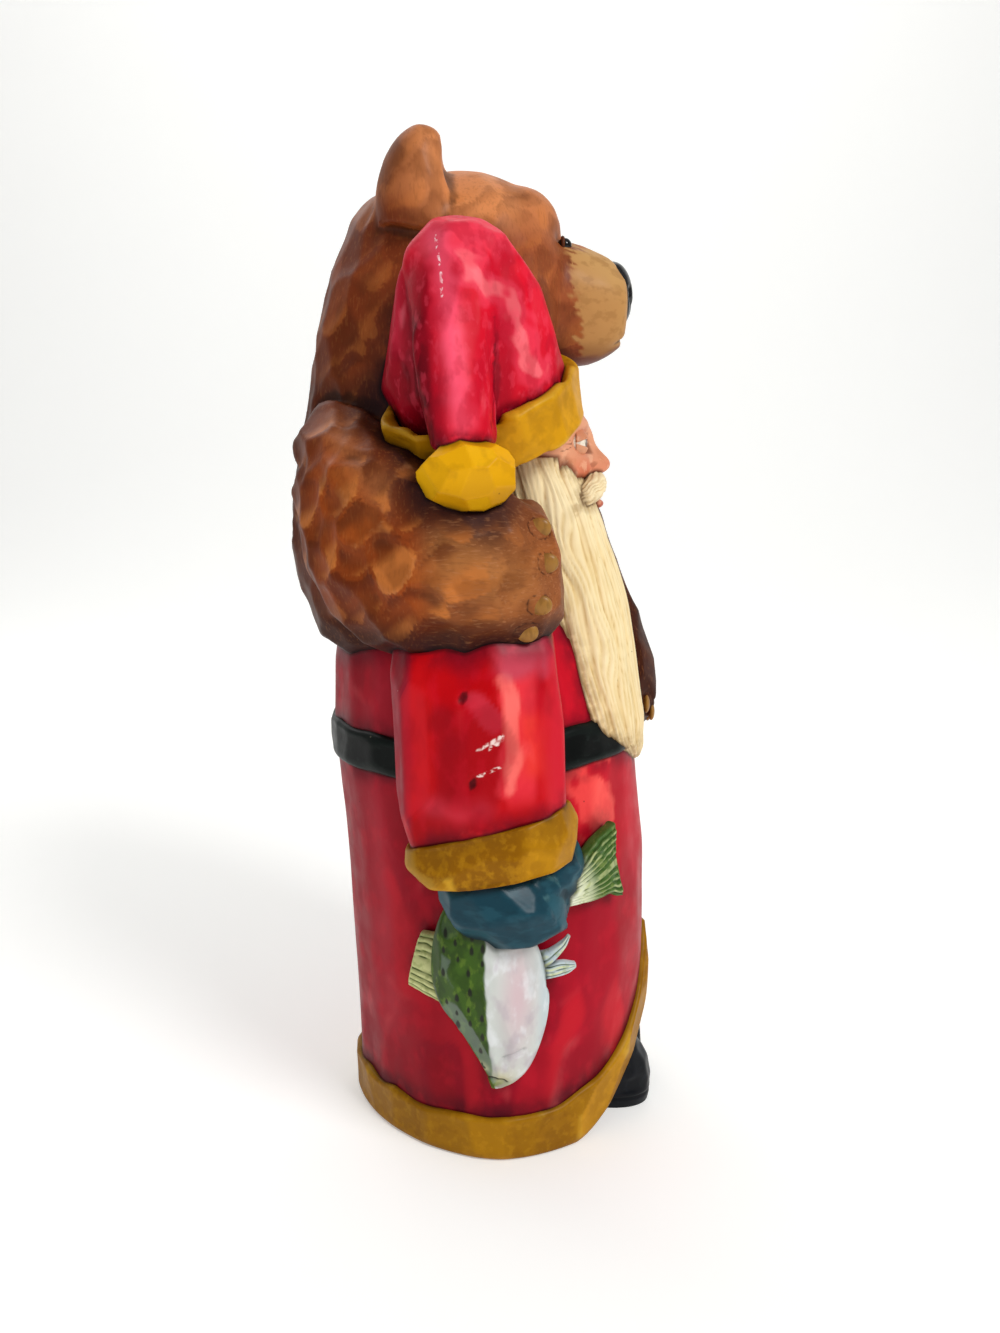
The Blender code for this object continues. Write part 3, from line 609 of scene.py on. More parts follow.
def sleeves():
    for side, name in ((-1, "sleeve_right"), (1, "sleeve_left")):
        stations = sleeve["stations"] if side < 0 else mirrored(sleeve["stations"])
        points, quads = skin(limbRings(stations, (0, 1, 0), domes=(8, 3), power=2.2, steps=16, sides=160))
        shape = {"stretch": (1, 1, 2.6), "hollow": 0.5, "eased": 5}
        points, tone, ridge = carve(points, quads, *sleeve["cut"], 31 + side, **shape)
        y, z = points[:, 1], points[:, 2]
        ink = np.zeros(len(points))
        chip = np.zeros(len(points))
        if side < 0:
            for place in sleeve["dents"]:
                away = np.hypot((y - place[0] + 0.25 * (z - place[1])) / 1.25, (z - place[1]) / 1.8)
                points = points - vertexNormals(points, quads) * (1.1 * bell(away, 0.9))[:, None]
                ink = np.maximum(ink, 0.95 * bell(away, 1.1) * (1 - 0.6 * bell(away, 0.45)))
            for path in sleeve["scratches"]:
                chip = np.maximum(chip, bell(awayFrom(points[:, 1:], path), 0.5))
        knife = 1.5 * wander(points, 9.0, 35)
        facets = {facet: awayFrom(points[:, 1:], line) for facet, line in sleeve["facets"].items()}
        front = smoothStep((0.6 - y + knife) / 1.8) * smoothStep((y + 10.5) / 2.4)
        zone = zoned(
            len(points), "#BC000A",
            ("#D80C14", bell(facets["back"] + knife, 4.0) * 0.7),
            ("#980010", bell(facets["middle"] + knife, 4.6) * 0.8),
            ("#D8384C", smoothStep((3.4 - facets["rose"] - knife) / 1.4) * 0.6),
            # painted highlight: a lit band down the front
            ("#EC3440", front * smoothStep((z - 112) / 8) * 0.85),
            # painted highlight: the coral band
            ("#FF7A70", smoothStep((2.6 - facets["coral"] - 0.5 * knife) / 1.4) * 0.75),
            ("#E83828", bell(facets["orange"], 2.6) * 0.7),
            # painted shade under the bear's arm
            ("#B4485C", smoothStep((z - 146) / 4 + 0.2 * knife) * smoothStep((4 - y) / 6) * 0.7),
            # painted highlight low on the sleeve
            ("#F0485C", bell(facets["low"] + 0.5 * knife, 2.8) * 0.45),
            ("#C01830", smoothStep((-11 - y) / 4) * 0.8),  # front edge
            ("#8C2038", smoothStep((y - 22.4) / 2.4) * 0.7),  # painted shade along the back edge
            ("#B00818", smoothStep((108 - z) / 6) * 0.45),  # above the cuff
        )
        fields = {**hollowFields(points, quads), "ink": ink, "chip": chip}
        addPiece(name, "coat_red", redLook, points, quads, zone, tone=tone, ridge=ridge, **fields)


sleeves()

# Mustard enamel with umber worked into its cuts, and painted shade near other pieces
mustardLook = {
    "name": "mustard_enamel_rubbed",
    "layers": (
        ("#8E5C04", 0.55, ("by", "tone", 0.45, 0.0)),
        ("#E0A010", 0.55, ("by", "tone", 0.60, 1.0)),
        ("#E8B838", 0.45, ("by", "ridge", 0.4, 1.0)),
        ("#8A5804", 0.35, ("noise", 7.0, (1, 1, 1), 0.50, 0.64)),
        ("#DCA01C", 0.25, ("noise", 2.2, (1, 1, 1), 0.52, 0.68)),
        ("#B88008", 0.45, ("noise", 3.6, (1, 1, 1), 0.48, 0.62)),
        ("#4A2C08", 0.70, ("by", "cavity", 0.2, 0.9)),
        ("#6A420A", 0.40, ("by", "gap", 4.0, 0.0)),
        ("#3A2206", 0.60, ("by", "gap", 0.8, 0.0)),
        ("#201408", 0.80, ("specks", 9.0, (1, 1, 1), 0.05, 0.30)),
    ),
    "rough": (0.38, 0.52), "varnish": 0.06,
    "relief": ((4.0, (1, 1, 1), 0.10), (0.45, (1, 1, 1), 0.014)),
}


def hemTrim():
    points, quads = bandSurface(hemEdges, coat["hemProud"], 430, 22, 0.35, 5)
    grounded = smoothStep((points[:, 2] - 0.6) / 2)
    points, tone, ridge = carve(points, quads, *coat["hemCut"], 41, (1, 1, 1.4), where=grounded, hollow=0.5)
    x, y, z = points.T
    shaded = smoothStep((-x - 20) / 20) * smoothStep((14 - np.abs(y + 4)) / 20)
    zone = zoned(
        len(points), "#A67203",
        ("#8C5E02", smoothStep((y - 6) / 30) * 0.5),
        ("#A06E08", shaded * 0.35),
        ("#8A5C08", smoothStep((4 - z) / 5) * 0.4),
    )
    fields = hollowFields(points, quads)
    addPiece("hem_trim", "trim_mustard", mustardLook, points, quads, zone, tone=tone, ridge=ridge, **fields)


hemTrim()

# Black enamel with a green cast, worn brown on its edges
beltLook = {
    "name": "black_enamel_worn",
    "layers": (
        ("#0C1412", 0.45, ("by", "tone", 0.55, 1.0)),
        ("#1C2622", 0.40, ("noise", 3.0, (1, 1, 0.6), 0.57, 0.72)),
        ("#1E2824", 0.30, ("by", "worn", 0.3, 1.0)),
        ("#040605", 0.70, ("by", "gap", 1.5, 0.0)),
        ("#6A6A58", 0.60, ("specks", 7.0, (1, 1, 1), 0.05, 0.25)),
    ),
    "rough": (0.34, 0.48), "varnish": 0.10,
    "relief": ((3.0, (1, 1, 1), 0.08), (0.4, (1, 1, 1), 0.012)),
}


def beltStrip():
    points, quads = bandSurface(beltEdges, coat["beltProud"], 440, 16, 0.3, 9)
    points, tone, ridge = carve(points, quads, *coat["beltCut"], 51, hollow=0.5)
    fields = hollowFields(points, quads)
    zone = zoned(len(points), "#050807")
    addPiece("belt", "black_gloss", beltLook, points, quads, zone, tone=tone, ridge=ridge, **fields)


beltStrip()

hands = {
    "cuff": (
        (-49.2, 3.5, 105.6, 22.3, 14.8), (-49.8, 2.1, 100.0, 23.5, 15.8), (-50.0, 1.0, 93.6, 21.4, 15.2),
    ),
    "mitten": ((-52.5, -1.2, 85.2), (12.6, 18.2, 12.4), 16.0),
    "thumb": ((-46.5, -17.0, 93.0), (8.0, 6.0, 9.0)),
    "cuffCut": (9.0, 0.8), "mittenCut": (9.0, 0.6), "voxel": 0.7,
}

# Teal enamel with painted grey-green highlights on its ridges, and painted shade near other pieces
tealLook = {
    "name": "teal_enamel_highlighted",
    "layers": (
        ("#163440", 0.50, ("by", "tone", 0.45, 0.0)),
        ("#3A6C78", 0.40, ("by", "tone", 0.62, 1.0)),
        ("#6E9C9C", 0.35, ("by", "ridge", 0.45, 1.0), ("noise", 6.0, (1, 1, 1), 0.45, 0.62)),
        ("#2C5A68", 0.40, ("noise", 5.0, (1.6, 1.6, 0.7), 0.50, 0.66)),
        ("#14303C", 0.30, ("noise", 2.2, (2, 2, 0.8), 0.52, 0.66)),
        ("#10242E", 0.70, ("by", "cavity", 0.2, 0.9)),
        ("#0C1A22", 0.80, ("by", "gap", 3.0, 0.0)),
        ("#0A141A", 0.60, ("specks", 6.0, (1, 1, 1), 0.05, 0.25)),
    ),
    "rough": (0.34, 0.48), "varnish": 0.15,
    "relief": ((3.0, (1, 1, 1), 0.08), (0.4, (1, 1, 1), 0.012)),
}


def handsAndCuffs():
    for side, end in ((1, "right"), (-1, "left")):
        rows = [(row[0] * side, *row[1:]) for row in hands["cuff"]]
        points, quads = skin(limbRings(rows, (0, 1, 0), domes=(1.5, 1.5), power=2.2, steps=12, sides=160))
        lift = 1.6 * smoothStep((-points[:, 1] - 8) / 12) * smoothStep((points[:, 2] - 98) / 6)
        points = points + np.outer(lift, up)
        points, tone, ridge = carve(points, quads, *hands["cuffCut"], 61 + side, (1, 1, 1.5), hollow=0.3)
        zone = zoned(
            len(points), "#8E5A00",
            ("#744600", smoothStep((96 - points[:, 2]) / 3) * 0.6),
            ("#B07A04", smoothStep((-4 - points[:, 1]) / 6) * 0.8),
        )
        fields = hollowFields(points, quads)
        fields.update(tone=tone, ridge=ridge)
        addPiece("cuff_" + end, "trim_mustard", mustardLook, points, quads, zone, **fields)
        centre, radii, turn = hands["mitten"]
        thumb, thumbRadii = hands["thumb"]
        palm = skin(eggRings((centre[0] * side, *centre[1:]), radii, (turn, 0, 0)))
        thumbTip = skin(eggRings((thumb[0] * side, *thumb[1:]), thumbRadii))
        points, quads = fused([palm, thumbTip], hands["voxel"], 3)
        points, tone, ridge = carve(points, quads, *hands["mittenCut"], 71 + side, hollow=0.6)
        zone = zoned(len(points), "#17404E", ("#123844", smoothStep((84 - points[:, 2]) / 10) * 0.6))
        fields = hollowFields(points, quads)
        fields.update(tone=tone, ridge=ridge)
        addPiece("mitten_" + end, "mitten_teal", tealLook, points, quads, zone, **fields)


handsAndCuffs()

trout = {
    "cut": (9.0, 0.35),
    # x, y, z, half width along y and across
    "body": (
        (-47.6, 1.4, 27.0, 1.8, 1.8), (-48.2, -0.6, 31.4, 5.4, 4.6), (-48.6, -1.5, 36.5, 8.2, 6.2),
        (-49.0, -1.2, 44.0, 11.3, 7.2), (-49.2, -0.1, 51.0, 13.8, 7.8), (-49.4, 2.0, 58.5, 15.8, 8.2),
        (-49.6, 3.5, 66.0, 15.7, 8.2), (-49.8, 3.8, 74.0, 13.8, 8.0), (-50.0, 1.6, 82.0, 11.4, 7.0),
    ),
    "tail": (
        (-49.0, -12.0, 86.0, 5.4, 4.4), (-46.5, -18.5, 85.8, 4.8, 4.0), (-42.0, -24.5, 87.4, 7.2, 3.8),
        (-37.5, -29.6, 89.6, 9.6, 3.8), (-34.4, -33.4, 90.2, 11.4, 3.8),
    ),
    "dorsal": ((-46.0, 12.0, 60.6, 10.4, 4.0), (-44.4, 18.0, 62.0, 9.6, 3.4), (-42.6, 24.0, 63.4, 8.4, 3.0)),
    "pelvic": (
        (-47.5, -8.5, 62.4, 3.8, 3.0), (-47.5, -14.0, 62.2, 2.4, 2.2), (-47.2, -18.4, 62.8, 2.0, 1.6),
        (-47.0, -21.0, 63.4, 0.9, 1.2),
    ),
    "spur": (
        (-47.5, -9.5, 63.8, 3.4, 2.8), (-47.4, -14.2, 66.4, 2.0, 2.0), (-47.2, -17.6, 69.6, 1.2, 1.4),
        (-47.2, -19.2, 72.0, 0.6, 1.0),
    ),
    "border": ((4.0, 84.0), (4.2, 64.0), (3.6, 48.0), (2.4, 36.0), (1.4, 26.0)),
    "gill": ((-1.0, 39.4), (-3.6, 40.4), (-6.6, 41.2)),
    "mouth": ((3.6, 30.2), (1.8, 31.6), (-0.6, 31.2), (-2.0, 29.6)),
}

# Fish enamel: olive back with black strokes, and a chalky belly with a pink bloom
troutLook = {
    "name": "fish_enamel_stroked",
    "layers": (
        ("#28400C", 0.65, ("by", "green", 0.3, 0.9), ("noise", 4.0, (1, 1, 1.4), 0.46, 0.62)),
        ("#6C8A28", 0.45, ("by", "green", 0.3, 0.9), ("noise", 2.4, (1, 1, 1.5), 0.52, 0.66)),
        ("#ECEEF0", 0.55, ("by", "pale", 0.3, 0.9), ("noise", 5.0, (1, 1, 1.5), 0.50, 0.66)),
        ("#B4A4AE", 0.50, ("by", "pale", 0.3, 0.9), ("noise", 7.0, (1, 1, 1.5), 0.50, 0.66)),
        ("#98A4A4", 0.35, ("by", "tone", 0.35, 0.0)),
        ("#6A7A70", 0.55, ("by", "cavity", 0.2, 0.9)),
        ("#20281C", 0.70, ("by", "gap", 1.6, 0.0)),
        ("#181412", 0.90, ("by", "ink", 0.35, 0.8)),
        ("#403830", 0.60, ("specks", 4.0, (1, 1, 1), 0.05, 0.25)),
    ),
    "rough": (0.32, 0.45), "varnish": 0.2,
    "relief": ((3.0, (1, 1, 1.5), 0.06), (0.5, (1, 1, 1), 0.012)),
}


# Black strokes in crooked rows down the fish's back: place along y and z, and size
def troutSpots():
    chooser = np.random.default_rng(83)
    found = []
    for column, y in enumerate((4.9, 8.2, 11.6, 15.2)):
        for row in range(10):
            z = 35.0 + 5.6 * row + (2.8 if column % 2 else 0.0) + chooser.uniform(-1.1, 1.1)
            if chooser.random() < 0.88:
                found.append((y + chooser.uniform(-0.7, 0.7), z, chooser.uniform(0.8, 1.25)))
    return found


def troutBody():
    points, quads = skin(limbRings(trout["body"], (0, 1, 0), domes=(0.8, 3), power=1.7, steps=21, sides=180))
    shown = points[:, 0] < -49
    points, tone, _ = carve(points, quads, *trout["cut"], 81, (1, 1, 1.6), hollow=0.6)
    y, z = points[:, 1], points[:, 2]
    borderY, borderZ = np.array(trout["border"][::-1]).T
    border = np.interp(z, borderZ, borderY)
    points = shifted(points, 0, -0.9 * bell(y - border, 2.2) * shown)  # a low crest where green meets white
    gill = bell(awayFrom(points[:, 1:], trout["gill"]), 0.55) * shown
    mouth = bell(awayFrom(points[:, 1:], trout["mouth"]), 0.5) * shown
    eye = np.hypot(y - 4.6, z - 34.5)
    points = shifted(points, 0, 0.7 * np.maximum(gill, mouth))
    points = shifted(points, 0, -0.7 * bell(eye, 1.2) * shown)
    ink = np.maximum.reduce([gill * 0.45, mouth * 0.8, bell(eye, 0.8) * shown])
    for cy, cz, size in troutSpots():
        along = (z - cz) / (1.75 * size)
        across = (y - cy) / (0.72 * size * (1 - 0.4 * np.clip(along, -1, 1)))
        ink = np.maximum(ink, bell(np.hypot(along, across), 1.0) * shown)
    green = smoothStep((y - border + 0.25 * wander(points, 4.0, 82)) / 0.9 + 0.5)
    rose = bell(np.hypot((y + 5) / 4.5, (z - 58) / 16), 1.0)
    zone = zoned(
        len(points), "#CCD2CC",
        ("#D8B4BC", rose * 0.75),  # pink bloom
        ("#B8C8D0", smoothStep((-y - 9) / 4) * 0.6),  # blue shade on the belly's edge
        ("#D8C070", bell(np.hypot(y - 0.5, z - 31), 4.5) * 0.5),
        ("#3C5C14", green),
        ("#2A440A", green * smoothStep((y - 12) / 6) * 0.6),
        ("#5E7C28", bell(np.hypot((y - 2) / 4.5, (z - 28.5) / 3.4), 1.0) * 0.85),
        ("#E8E4A8", bell(eye, 1.5) * shown * 0.8),
    )
    fields = hollowFields(points, quads)
    fields["cavity"] *= 0.5
    addPiece(
        "trout_body", "trout_green", troutLook, points, quads, zone,
        tone=tone, ink=ink, green=green, pale=1 - green, **fields,
    )


# A fin with ribs that run from its root to its edge
def ribbedFin(name, stations, across, domes, ribs, depth, zoneAlong, seed, concave=0.0):
    rings = limbRings(stations, across, domes, power=3, steps=18, sides=130)
    rows, sides = rings.shape[:2]
    _, c, _ = ovalPoints(sides, 3)
    points, quads = skin(rings)
    spread = capped(np.repeat(c[None, :, None], rows, axis=0))[:, 0]
    along = capped(np.repeat(np.linspace(0, 1, rows)[:, None, None], sides, axis=1))[:, 0]
    phase = spread * ribs / 2 + 0.12 * wander(points, 5.0, seed)
    valley = np.abs(2 * (phase % 1) - 1) ** 2.5
    normals = vertexNormals(points, quads)
    flank = np.abs(normals[:, 0]) ** 0.5
    points = points - normals * (depth * valley * smoothStep(along / 0.15) * flank)[:, None]
    if concave:
        middle = smoothStep((along - 0.6) / 0.4) * (1 - spread ** 2)
        points = shifted(points, 1, concave * (middle + 0.25 * smoothStep((along - 0.9) / 0.1) * valley))
    zone, green = zoneAlong(along)
    fields = {"cavity": valley * flank, "worn": (1 - valley) * flank, "green": green}
    addPiece(name, "trout_green", finLook, points, quads, zone, **fields)


# Cream enamel on the fins' ribs, with green left between them
finLook = {
    "name": "cream_enamel_dry_brushed",
    "layers": (
        ("#36581A", 0.60, ("by", "green", 0.3, 1.0), ("noise", 3.0, (1, 1, 1), 0.42, 0.6)),
        ("#2C4A10", 0.85, ("by", "cavity", 0.25, 0.8)),
        ("#DCE0A0", 0.75, ("by", "worn", 0.72, 1.0), ("noise", 3.0, (1, 1, 1), 0.36, 0.54)),
        ("#8A9A50", 0.40, ("noise", 2.2, (1, 1, 1), 0.52, 0.66)),
        ("#1C2410", 0.75, ("by", "gap", 1.3, 0.0)),
        ("#1A1A10", 0.70, ("specks", 4.0, (1, 1, 1), 0.06, 0.25)),
    ),
    "rough": (0.36, 0.5), "varnish": 0.15,
    "relief": ((2.0, (1, 1, 1), 0.05), (0.4, (1, 1, 1), 0.010)),
}


# Each fin's colours from root to edge, and how green it is
def dorsalZone(along):
    return zoned(len(along), "#C4C88A", ("#8CA04A", smoothStep((0.4 - along) / 0.3) * 0.6)), along * 0


def tailZone(along):
    green = smoothStep((along - 0.36) / 0.22)
    root = bell(along - 0.2, 0.15)
    return zoned(len(along), "#D2D8B0", ("#F0F0E0", root), ("#38601A", green * 0.95)), green


def pelvicZone(along):
    return zoned(len(along), "#C8D4D8", ("#8AA0B0", smoothStep((0.5 - along) / 0.4) * 0.5)), along * 0


def troutFins():
    ribbedFin("dorsal_fin", trout["dorsal"], (0, -0.2, 1), (0, 0.5), 9, 0.75, dorsalZone, 91)
    ribbedFin("tail_fin", trout["tail"], (0, 0.1, 1), (2, 0.5), 11, 0.9, tailZone, 92, concave=2.6)
    ribbedFin("pelvic_fin", trout["pelvic"], (0, 0, 1), (0, 0.5), 3, 0.5, pelvicZone, 93)
    ribbedFin("pelvic_spur", trout["spur"], (0, 0, 1), (0, 0.5), 2, 0.4, pelvicZone, 94)


troutBody()
troutFins()

boot = {
    "spread": 10.4,
    "stations": (
        (0, -35.9, 0.0, 8.6, 12.2), (0, -36.0, 5.0, 9.2, 12.8), (0, -35.8, 11.0, 9.0, 12.4),
        (0, -34.9, 17.0, 8.4, 10.6), (0, -33.6, 23.0, 8.0, 9.0), (0, -32.6, 36.0, 8.2, 8.4),
    ),
    "soleLevel": 3.4, "cut": (7.0, 0.5),
}

# Blue-black enamel, satin
bootLook = {
    "name": "blue_black_enamel_satin",
    "layers": (
        ("#101826", 0.50, ("by", "tone", 0.55, 1.0)),
        ("#1C2634", 0.40, ("by", "ridge", 0.4, 1.0)),
        ("#181E28", 0.35, ("noise", 3.0, (1, 1, 1), 0.54, 0.7)),
        ("#020306", 0.80, ("by", "cavity", 0.2, 0.9)),
        ("#020306", 0.80, ("by", "gap", 2.0, 0.0)),
    ),
    "rough": (0.32, 0.46), "varnish": 0.2,
    "relief": ((3.0, (1, 1, 1), 0.08), (0.4, (1, 1, 1), 0.012)),
}


def boots():
    for side, end in ((-1, "right"), (1, "left")):
        rows = [(boot["spread"] * side, *row[1:]) for row in boot["stations"]]
        points, quads = skin(limbRings(rows, (1, 0, 0), power=2.3, steps=13, sides=104))
        z = points[:, 2]
        points = points - vertexNormals(points, quads) * (0.5 * bell(z - boot["soleLevel"], 0.5))[:, None]
        upper = smoothStep((z - 4) / 2)
        points, tone, ridge = carve(points, quads, *boot["cut"], 101 + side, where=upper, hollow=0.6)
        points[:, 2] = np.maximum(points[:, 2], 0.0)
        fields = {**hollowFields(points, quads), "tone": tone, "ridge": ridge}
        zone = zoned(len(points), "#04070E")
        addPiece("boot_" + end, "black_gloss", bootLook, points, quads, zone, **fields)


boots()

bear = {
    # level, centre in x and y, half width in x, half depth in y
    "trunk": (
        (147, 0, 30.0, 26.0, 18.0), (152, 0, 28.0, 33.0, 26.0), (161, 0, 26.5, 38.0, 32.4),
        (170, 0, 26.0, 40.5, 35.6), (181, 0, 26.0, 41.5, 36.8), (195, 2, 26.0, 40.5, 36.4),
        (208, 4, 25.0, 37.0, 35.2), (221, 4, 22.6, 32.0, 35.0), (234, 4, 20.0, 29.5, 35.6),
        (248, 5, 17.0, 29.5, 35.6), (260, 6, 15.0, 27.5, 33.6), (270, 6, 14.0, 23.5, 30.2),
        (276.5, 6, 15.0, 17.5, 24.6), (280.2, 6, 16.0, 11.0, 16.4), (281.8, 6, 16.5, 5.0, 8.0),
    ),
    "middle": 6.0,
    "eggs": (
        ((6.0, 10.0, 251.5), (31.0, 31.0, 33.8)), ((6.0, -4.5, 269.0), (19.0, 13.2, 12.4)),
        ((-12.0, 14.0, 203.0), (27.0, 18.0, 18.0)), ((20.0, 34.0, 194.0), (24.0, 22.0, 28.0)),
        ((-11.0, 1.0, 243.5), (15.0, 17.0, 17.0)), ((23.0, 1.0, 243.5), (15.0, 17.0, 17.0)),
        ((-11.0, 33.0, 163.0), (26.0, 24.0, 18.6)), ((23.0, 33.0, 163.0), (26.0, 24.0, 18.6)),
        ((-13.0, 39.0, 205.0), (23.0, 20.0, 16.5)), ((-20.0, 30.0, 196.0), (20.0, 20.0, 18.0)),
    ),
    "muzzle": (
        (6, -6, 248.0, 17.0, 19.0), (6, -18, 248.0, 15.4, 18.4), (6, -26, 247.4, 13.4, 16.6),
        (6, -32, 247.2, 11.6, 14.0), (6, -35.8, 247.2, 9.8, 10.6),
    ),
    "jaw": ((-7, -20, 232.4), (-4, -30, 233.2), (1, -35.6, 236.6), (6, -37.6, 238.6)),
    "ear": (
        (-11.0, 23.4, 267, 12.0, 12.4), (-12.4, 23.0, 275.5, 11.4, 11.2), (-13.6, 22.2, 283, 9.4, 9.2),
        (-14.4, 21.0, 288, 6.6, 7.0), (-14.8, 20.2, 290.6, 4.2, 4.6),
    ),
    "rightArm": (
        (-21, 43.0, 201, 19.0, 16.0), (-31.5, 35.0, 187, 25.4, 18.6), (-39, 22.6, 176.6, 26.2, 20.4),
        (-42, 8.0, 174.6, 25.4, 20.4), (-42, -3.0, 174.4, 22.6, 18.0), (-41, -9.4, 175.4, 18.6, 14.4),
    ),
    "leftArm": (
        (14, 36.0, 196, 22.0, 20.0), (27, 28.0, 204, 23.0, 20.0), (35, 13.0, 207, 20.0, 18.0),
        (36, -3.0, 203, 17.6, 16.6), (32.5, -15.4, 190, 16.0, 15.2), (28.5, -23.2, 172, 15.0, 14.6),
        (25.5, -30.8, 152, 14.6, 14.2), (23, -37.4, 134, 14.6, 14.2), (22, -38.9, 122, 12.4, 12.2),
    ),
    "neckLine": (
        (-12, 51.5, 221.4), (-15.4, 49.6, 221.1), (-22.5, 41.5, 220.5), (-25.6, 37.1, 218.2), (-28, 31, 214),
    ),
    "rightClaws": ((-6.8, 193.6), (-10.2, 186.4), (-12.0, 177.6), (-10.4, 167.0), (-7.0, 159.6)),
    "leftClaws": ((32.4, 125.0), (27.8, 121.4), (22.8, 120.0), (17.8, 121.4), (13.4, 125.0)),
    "clawRadii": (2.6, 1.1, 3.0), "clawSink": 0.42,
    "eyes": (7.2, 264.0, 2.1), "eyeSink": 1.3,
    "nose": ((6.0, -33.2, 250.6), (7.9, 6.2, 10.2)),
    "voxel": 0.96, "cut": (10.5, 1.0),
    "crooked": 2.2, "scooped": ((38, 206), (42, 194), (34, 180), (20, 166)),
    # where painted light falls on the shoulder
    "shoulderLine": ((40, 204), (44, 192), (34, 178), (22, 168)),
    "shadowLine": ((35, 218), (30, 211), (24, 203), (14, 192), (2, 188)),  # painted shadow where hat and pompom lie on the arm
}

# Brown enamel over gouge marks, stroked like fur, with umber in the hollows, painted light and shade across
# the gouges, and painted shade near other pieces
furLook = {
    "name": "brown_enamel_stroked",
    "layers": (
        ("#4A1A08", 0.40, ("by", "tone", 0.46, 0.0)),
        # painted light and shade where the light falls: lit facets, shaded scoop backs, lit scoop edges and
        # crests
        ("#B86428", 0.35, ("by", "tone", 0.62, 1.0), ("by", "lit", 0.0, 1.0)),
        ("#561E08", 0.66, ("by", "shade", 0.46, 0.10), ("by", "lit", 0.0, 0.8)),
        ("#CC7838", 0.85, ("by", "shade", 0.58, 0.95), ("by", "lit", 0.0, 0.9)),
        (
            "#E09C68", 0.40,
            ("by", "ridge", 0.5, 1.0), ("by", "shade", 0.4, 0.8), ("noise", 5.0, (1, 1, 1), 0.40, 0.60),
        ),
        (
            "#3A180A", 0.14,
            ("noise", 0.75, (1, 1, 4), 0.50, 0.66), ("by", "arm", 1.0, 0.0), ("by", "pale", 0.8, 0.0),
        ),
        (
            "#C07840", 0.14,
            ("noise", 0.7, (1, 1, 4), 0.54, 0.68), ("by", "arm", 1.0, 0.0), ("by", "pale", 0.8, 0.0),
        ),
        ("#3A1A12", 0.18, ("noise", 0.75, (1, 5, 1), 0.50, 0.66), ("by", "arm", 0.0, 1.0)),
        ("#C08458", 0.26, ("noise", 0.6, (1, 6, 1), 0.54, 0.68), ("by", "arm", 0.0, 1.0)),
        ("#5A2A0C", 0.36, ("noise", 12.0, (1, 1, 1), 0.50, 0.64), ("by", "pale", 0.9, 0.0)),
        ("#9A6C3C", 0.45, ("noise", 3.0, (1, 1.6, 1), 0.48, 0.62), ("by", "pale", 0.2, 1.0)),
        ("#200C06", 0.70, ("by", "cavity", 0.3, 1.1)),
        # painted shade spreading from other pieces, and a dark line where they meet
        ("#281018", 0.66, ("by", "gap", 9.0, 0.0), ("noise", 6.0, (1, 1, 1), 0.20, 0.56)),
        ("#10040A", 0.90, ("by", "gap", 1.6, 0.0)),
        ("#1C0A08", 0.92, ("by", "ink", 0.3, 0.85)),
    ),
    "rough": (0.42, 0.56), "varnish": 0.06,
    "relief": ((1.0, (1, 1, 3), 0.045), (0.45, (1, 1, 1), 0.014)),
}

# Horn-coloured enamel on the claws
clawLook = {
    "name": "horn_enamel_dabbed",
    "layers": (
        ("#6A3C18", 0.60, ("noise", 1.4, (1, 1, 2), 0.45, 0.62)),
        ("#A88440", 0.40, ("by", "worn", 0.2, 1.0)),
        ("#1C1008", 0.90, ("by", "gap", 0.8, 0.1)),
    ),
    "rough": (0.30, 0.42), "varnish": 0.2,
    "relief": ((1.2, (1, 1, 2), 0.05), (0.4, (1, 1, 1), 0.010)),
}

# Black gloss on nose and eyes, with a few pale pinholes
glossLook = {
    "name": "black_gloss_dipped",
    "layers": (
        ("#2A2A2E", 0.50, ("noise", 1.6, (1, 1, 1), 0.52, 0.66)),
        ("#D0D0D0", 0.80, ("specks", 2.2, (1, 1, 1), 0.10, 0.30)),
    ),
    "rough": (0.12, 0.22), "varnish": 0.5, "varnishRough": 0.08,
    "relief": ((1.2, (1, 1, 1), 0.06), (0.35, (1, 1, 1), 0.010)),
}


def inOtherHalf(rows):
    return [(2 * bear["middle"] - row[0], *row[1:]) for row in rows]


def bearForms():
    _, c, s = ovalPoints(96)
    rings = []
    for level, x, y, wide, deep in through(bear["trunk"], 4):
        rings.append(np.stack([x + wide * c, y + deep * s, np.full_like(c, level)], axis=1))
    forms = [skin(np.array(rings))]
    forms += [skin(eggRings(centre, radii)) for centre, radii in bear["eggs"]]
    forms.append(skin(limbRings(bear["muzzle"], (1, 0, 0), (0, 1.8), 2.2)))
    forms.append(skin(limbRings(bear["rightArm"], up, (6, 7), 2.2)))
    forms.append(skin(limbRings(bear["leftArm"], (1, 0, 0), (6, 8.4))))
    forms += [skin(limbRings(rows, (0, 1, 0), (0, 1.8))) for rows in (bear["ear"], inOtherHalf(bear["ear"]))]
    return forms


# Round gouge marks, each with a painted highlight along its lower front edge and painted shade toward its
# upper back
def scoops(points, quads, spacing, depth, seed, where):
    before = points
    shape = {"hollow": 1.5, "eased": 1, "crooked": bear["crooked"], "uneven": 0.9}
    points, tone, ridge = carve(points, quads, spacing, depth, seed, where=where, **shape)
    down = np.array((0.0, -0.6, -0.8))
    placed = warped(before, bear["crooked"], spacing * 1.6, seed + 2)
    places, seats, _ = scattered(placed, before, vertexNormals(before, quads), spacing, seed)
    tree = kdtree.KDTree(len(seats))
    for i, place in enumerate(places):
        tree.insert(place, i)
    tree.balance()
    nearest = seats[[tree.find(place)[1] for place in placed]]
    shade = 0.5 + ((before - nearest) @ down) / spacing
    return points, tone, ridge, smoothed(shade[:, None], quads, 1)[:, 0]


def seatOn(tree, start, direction):
    return np.array(tree.ray_cast(Vector(start), Vector(direction))[0])


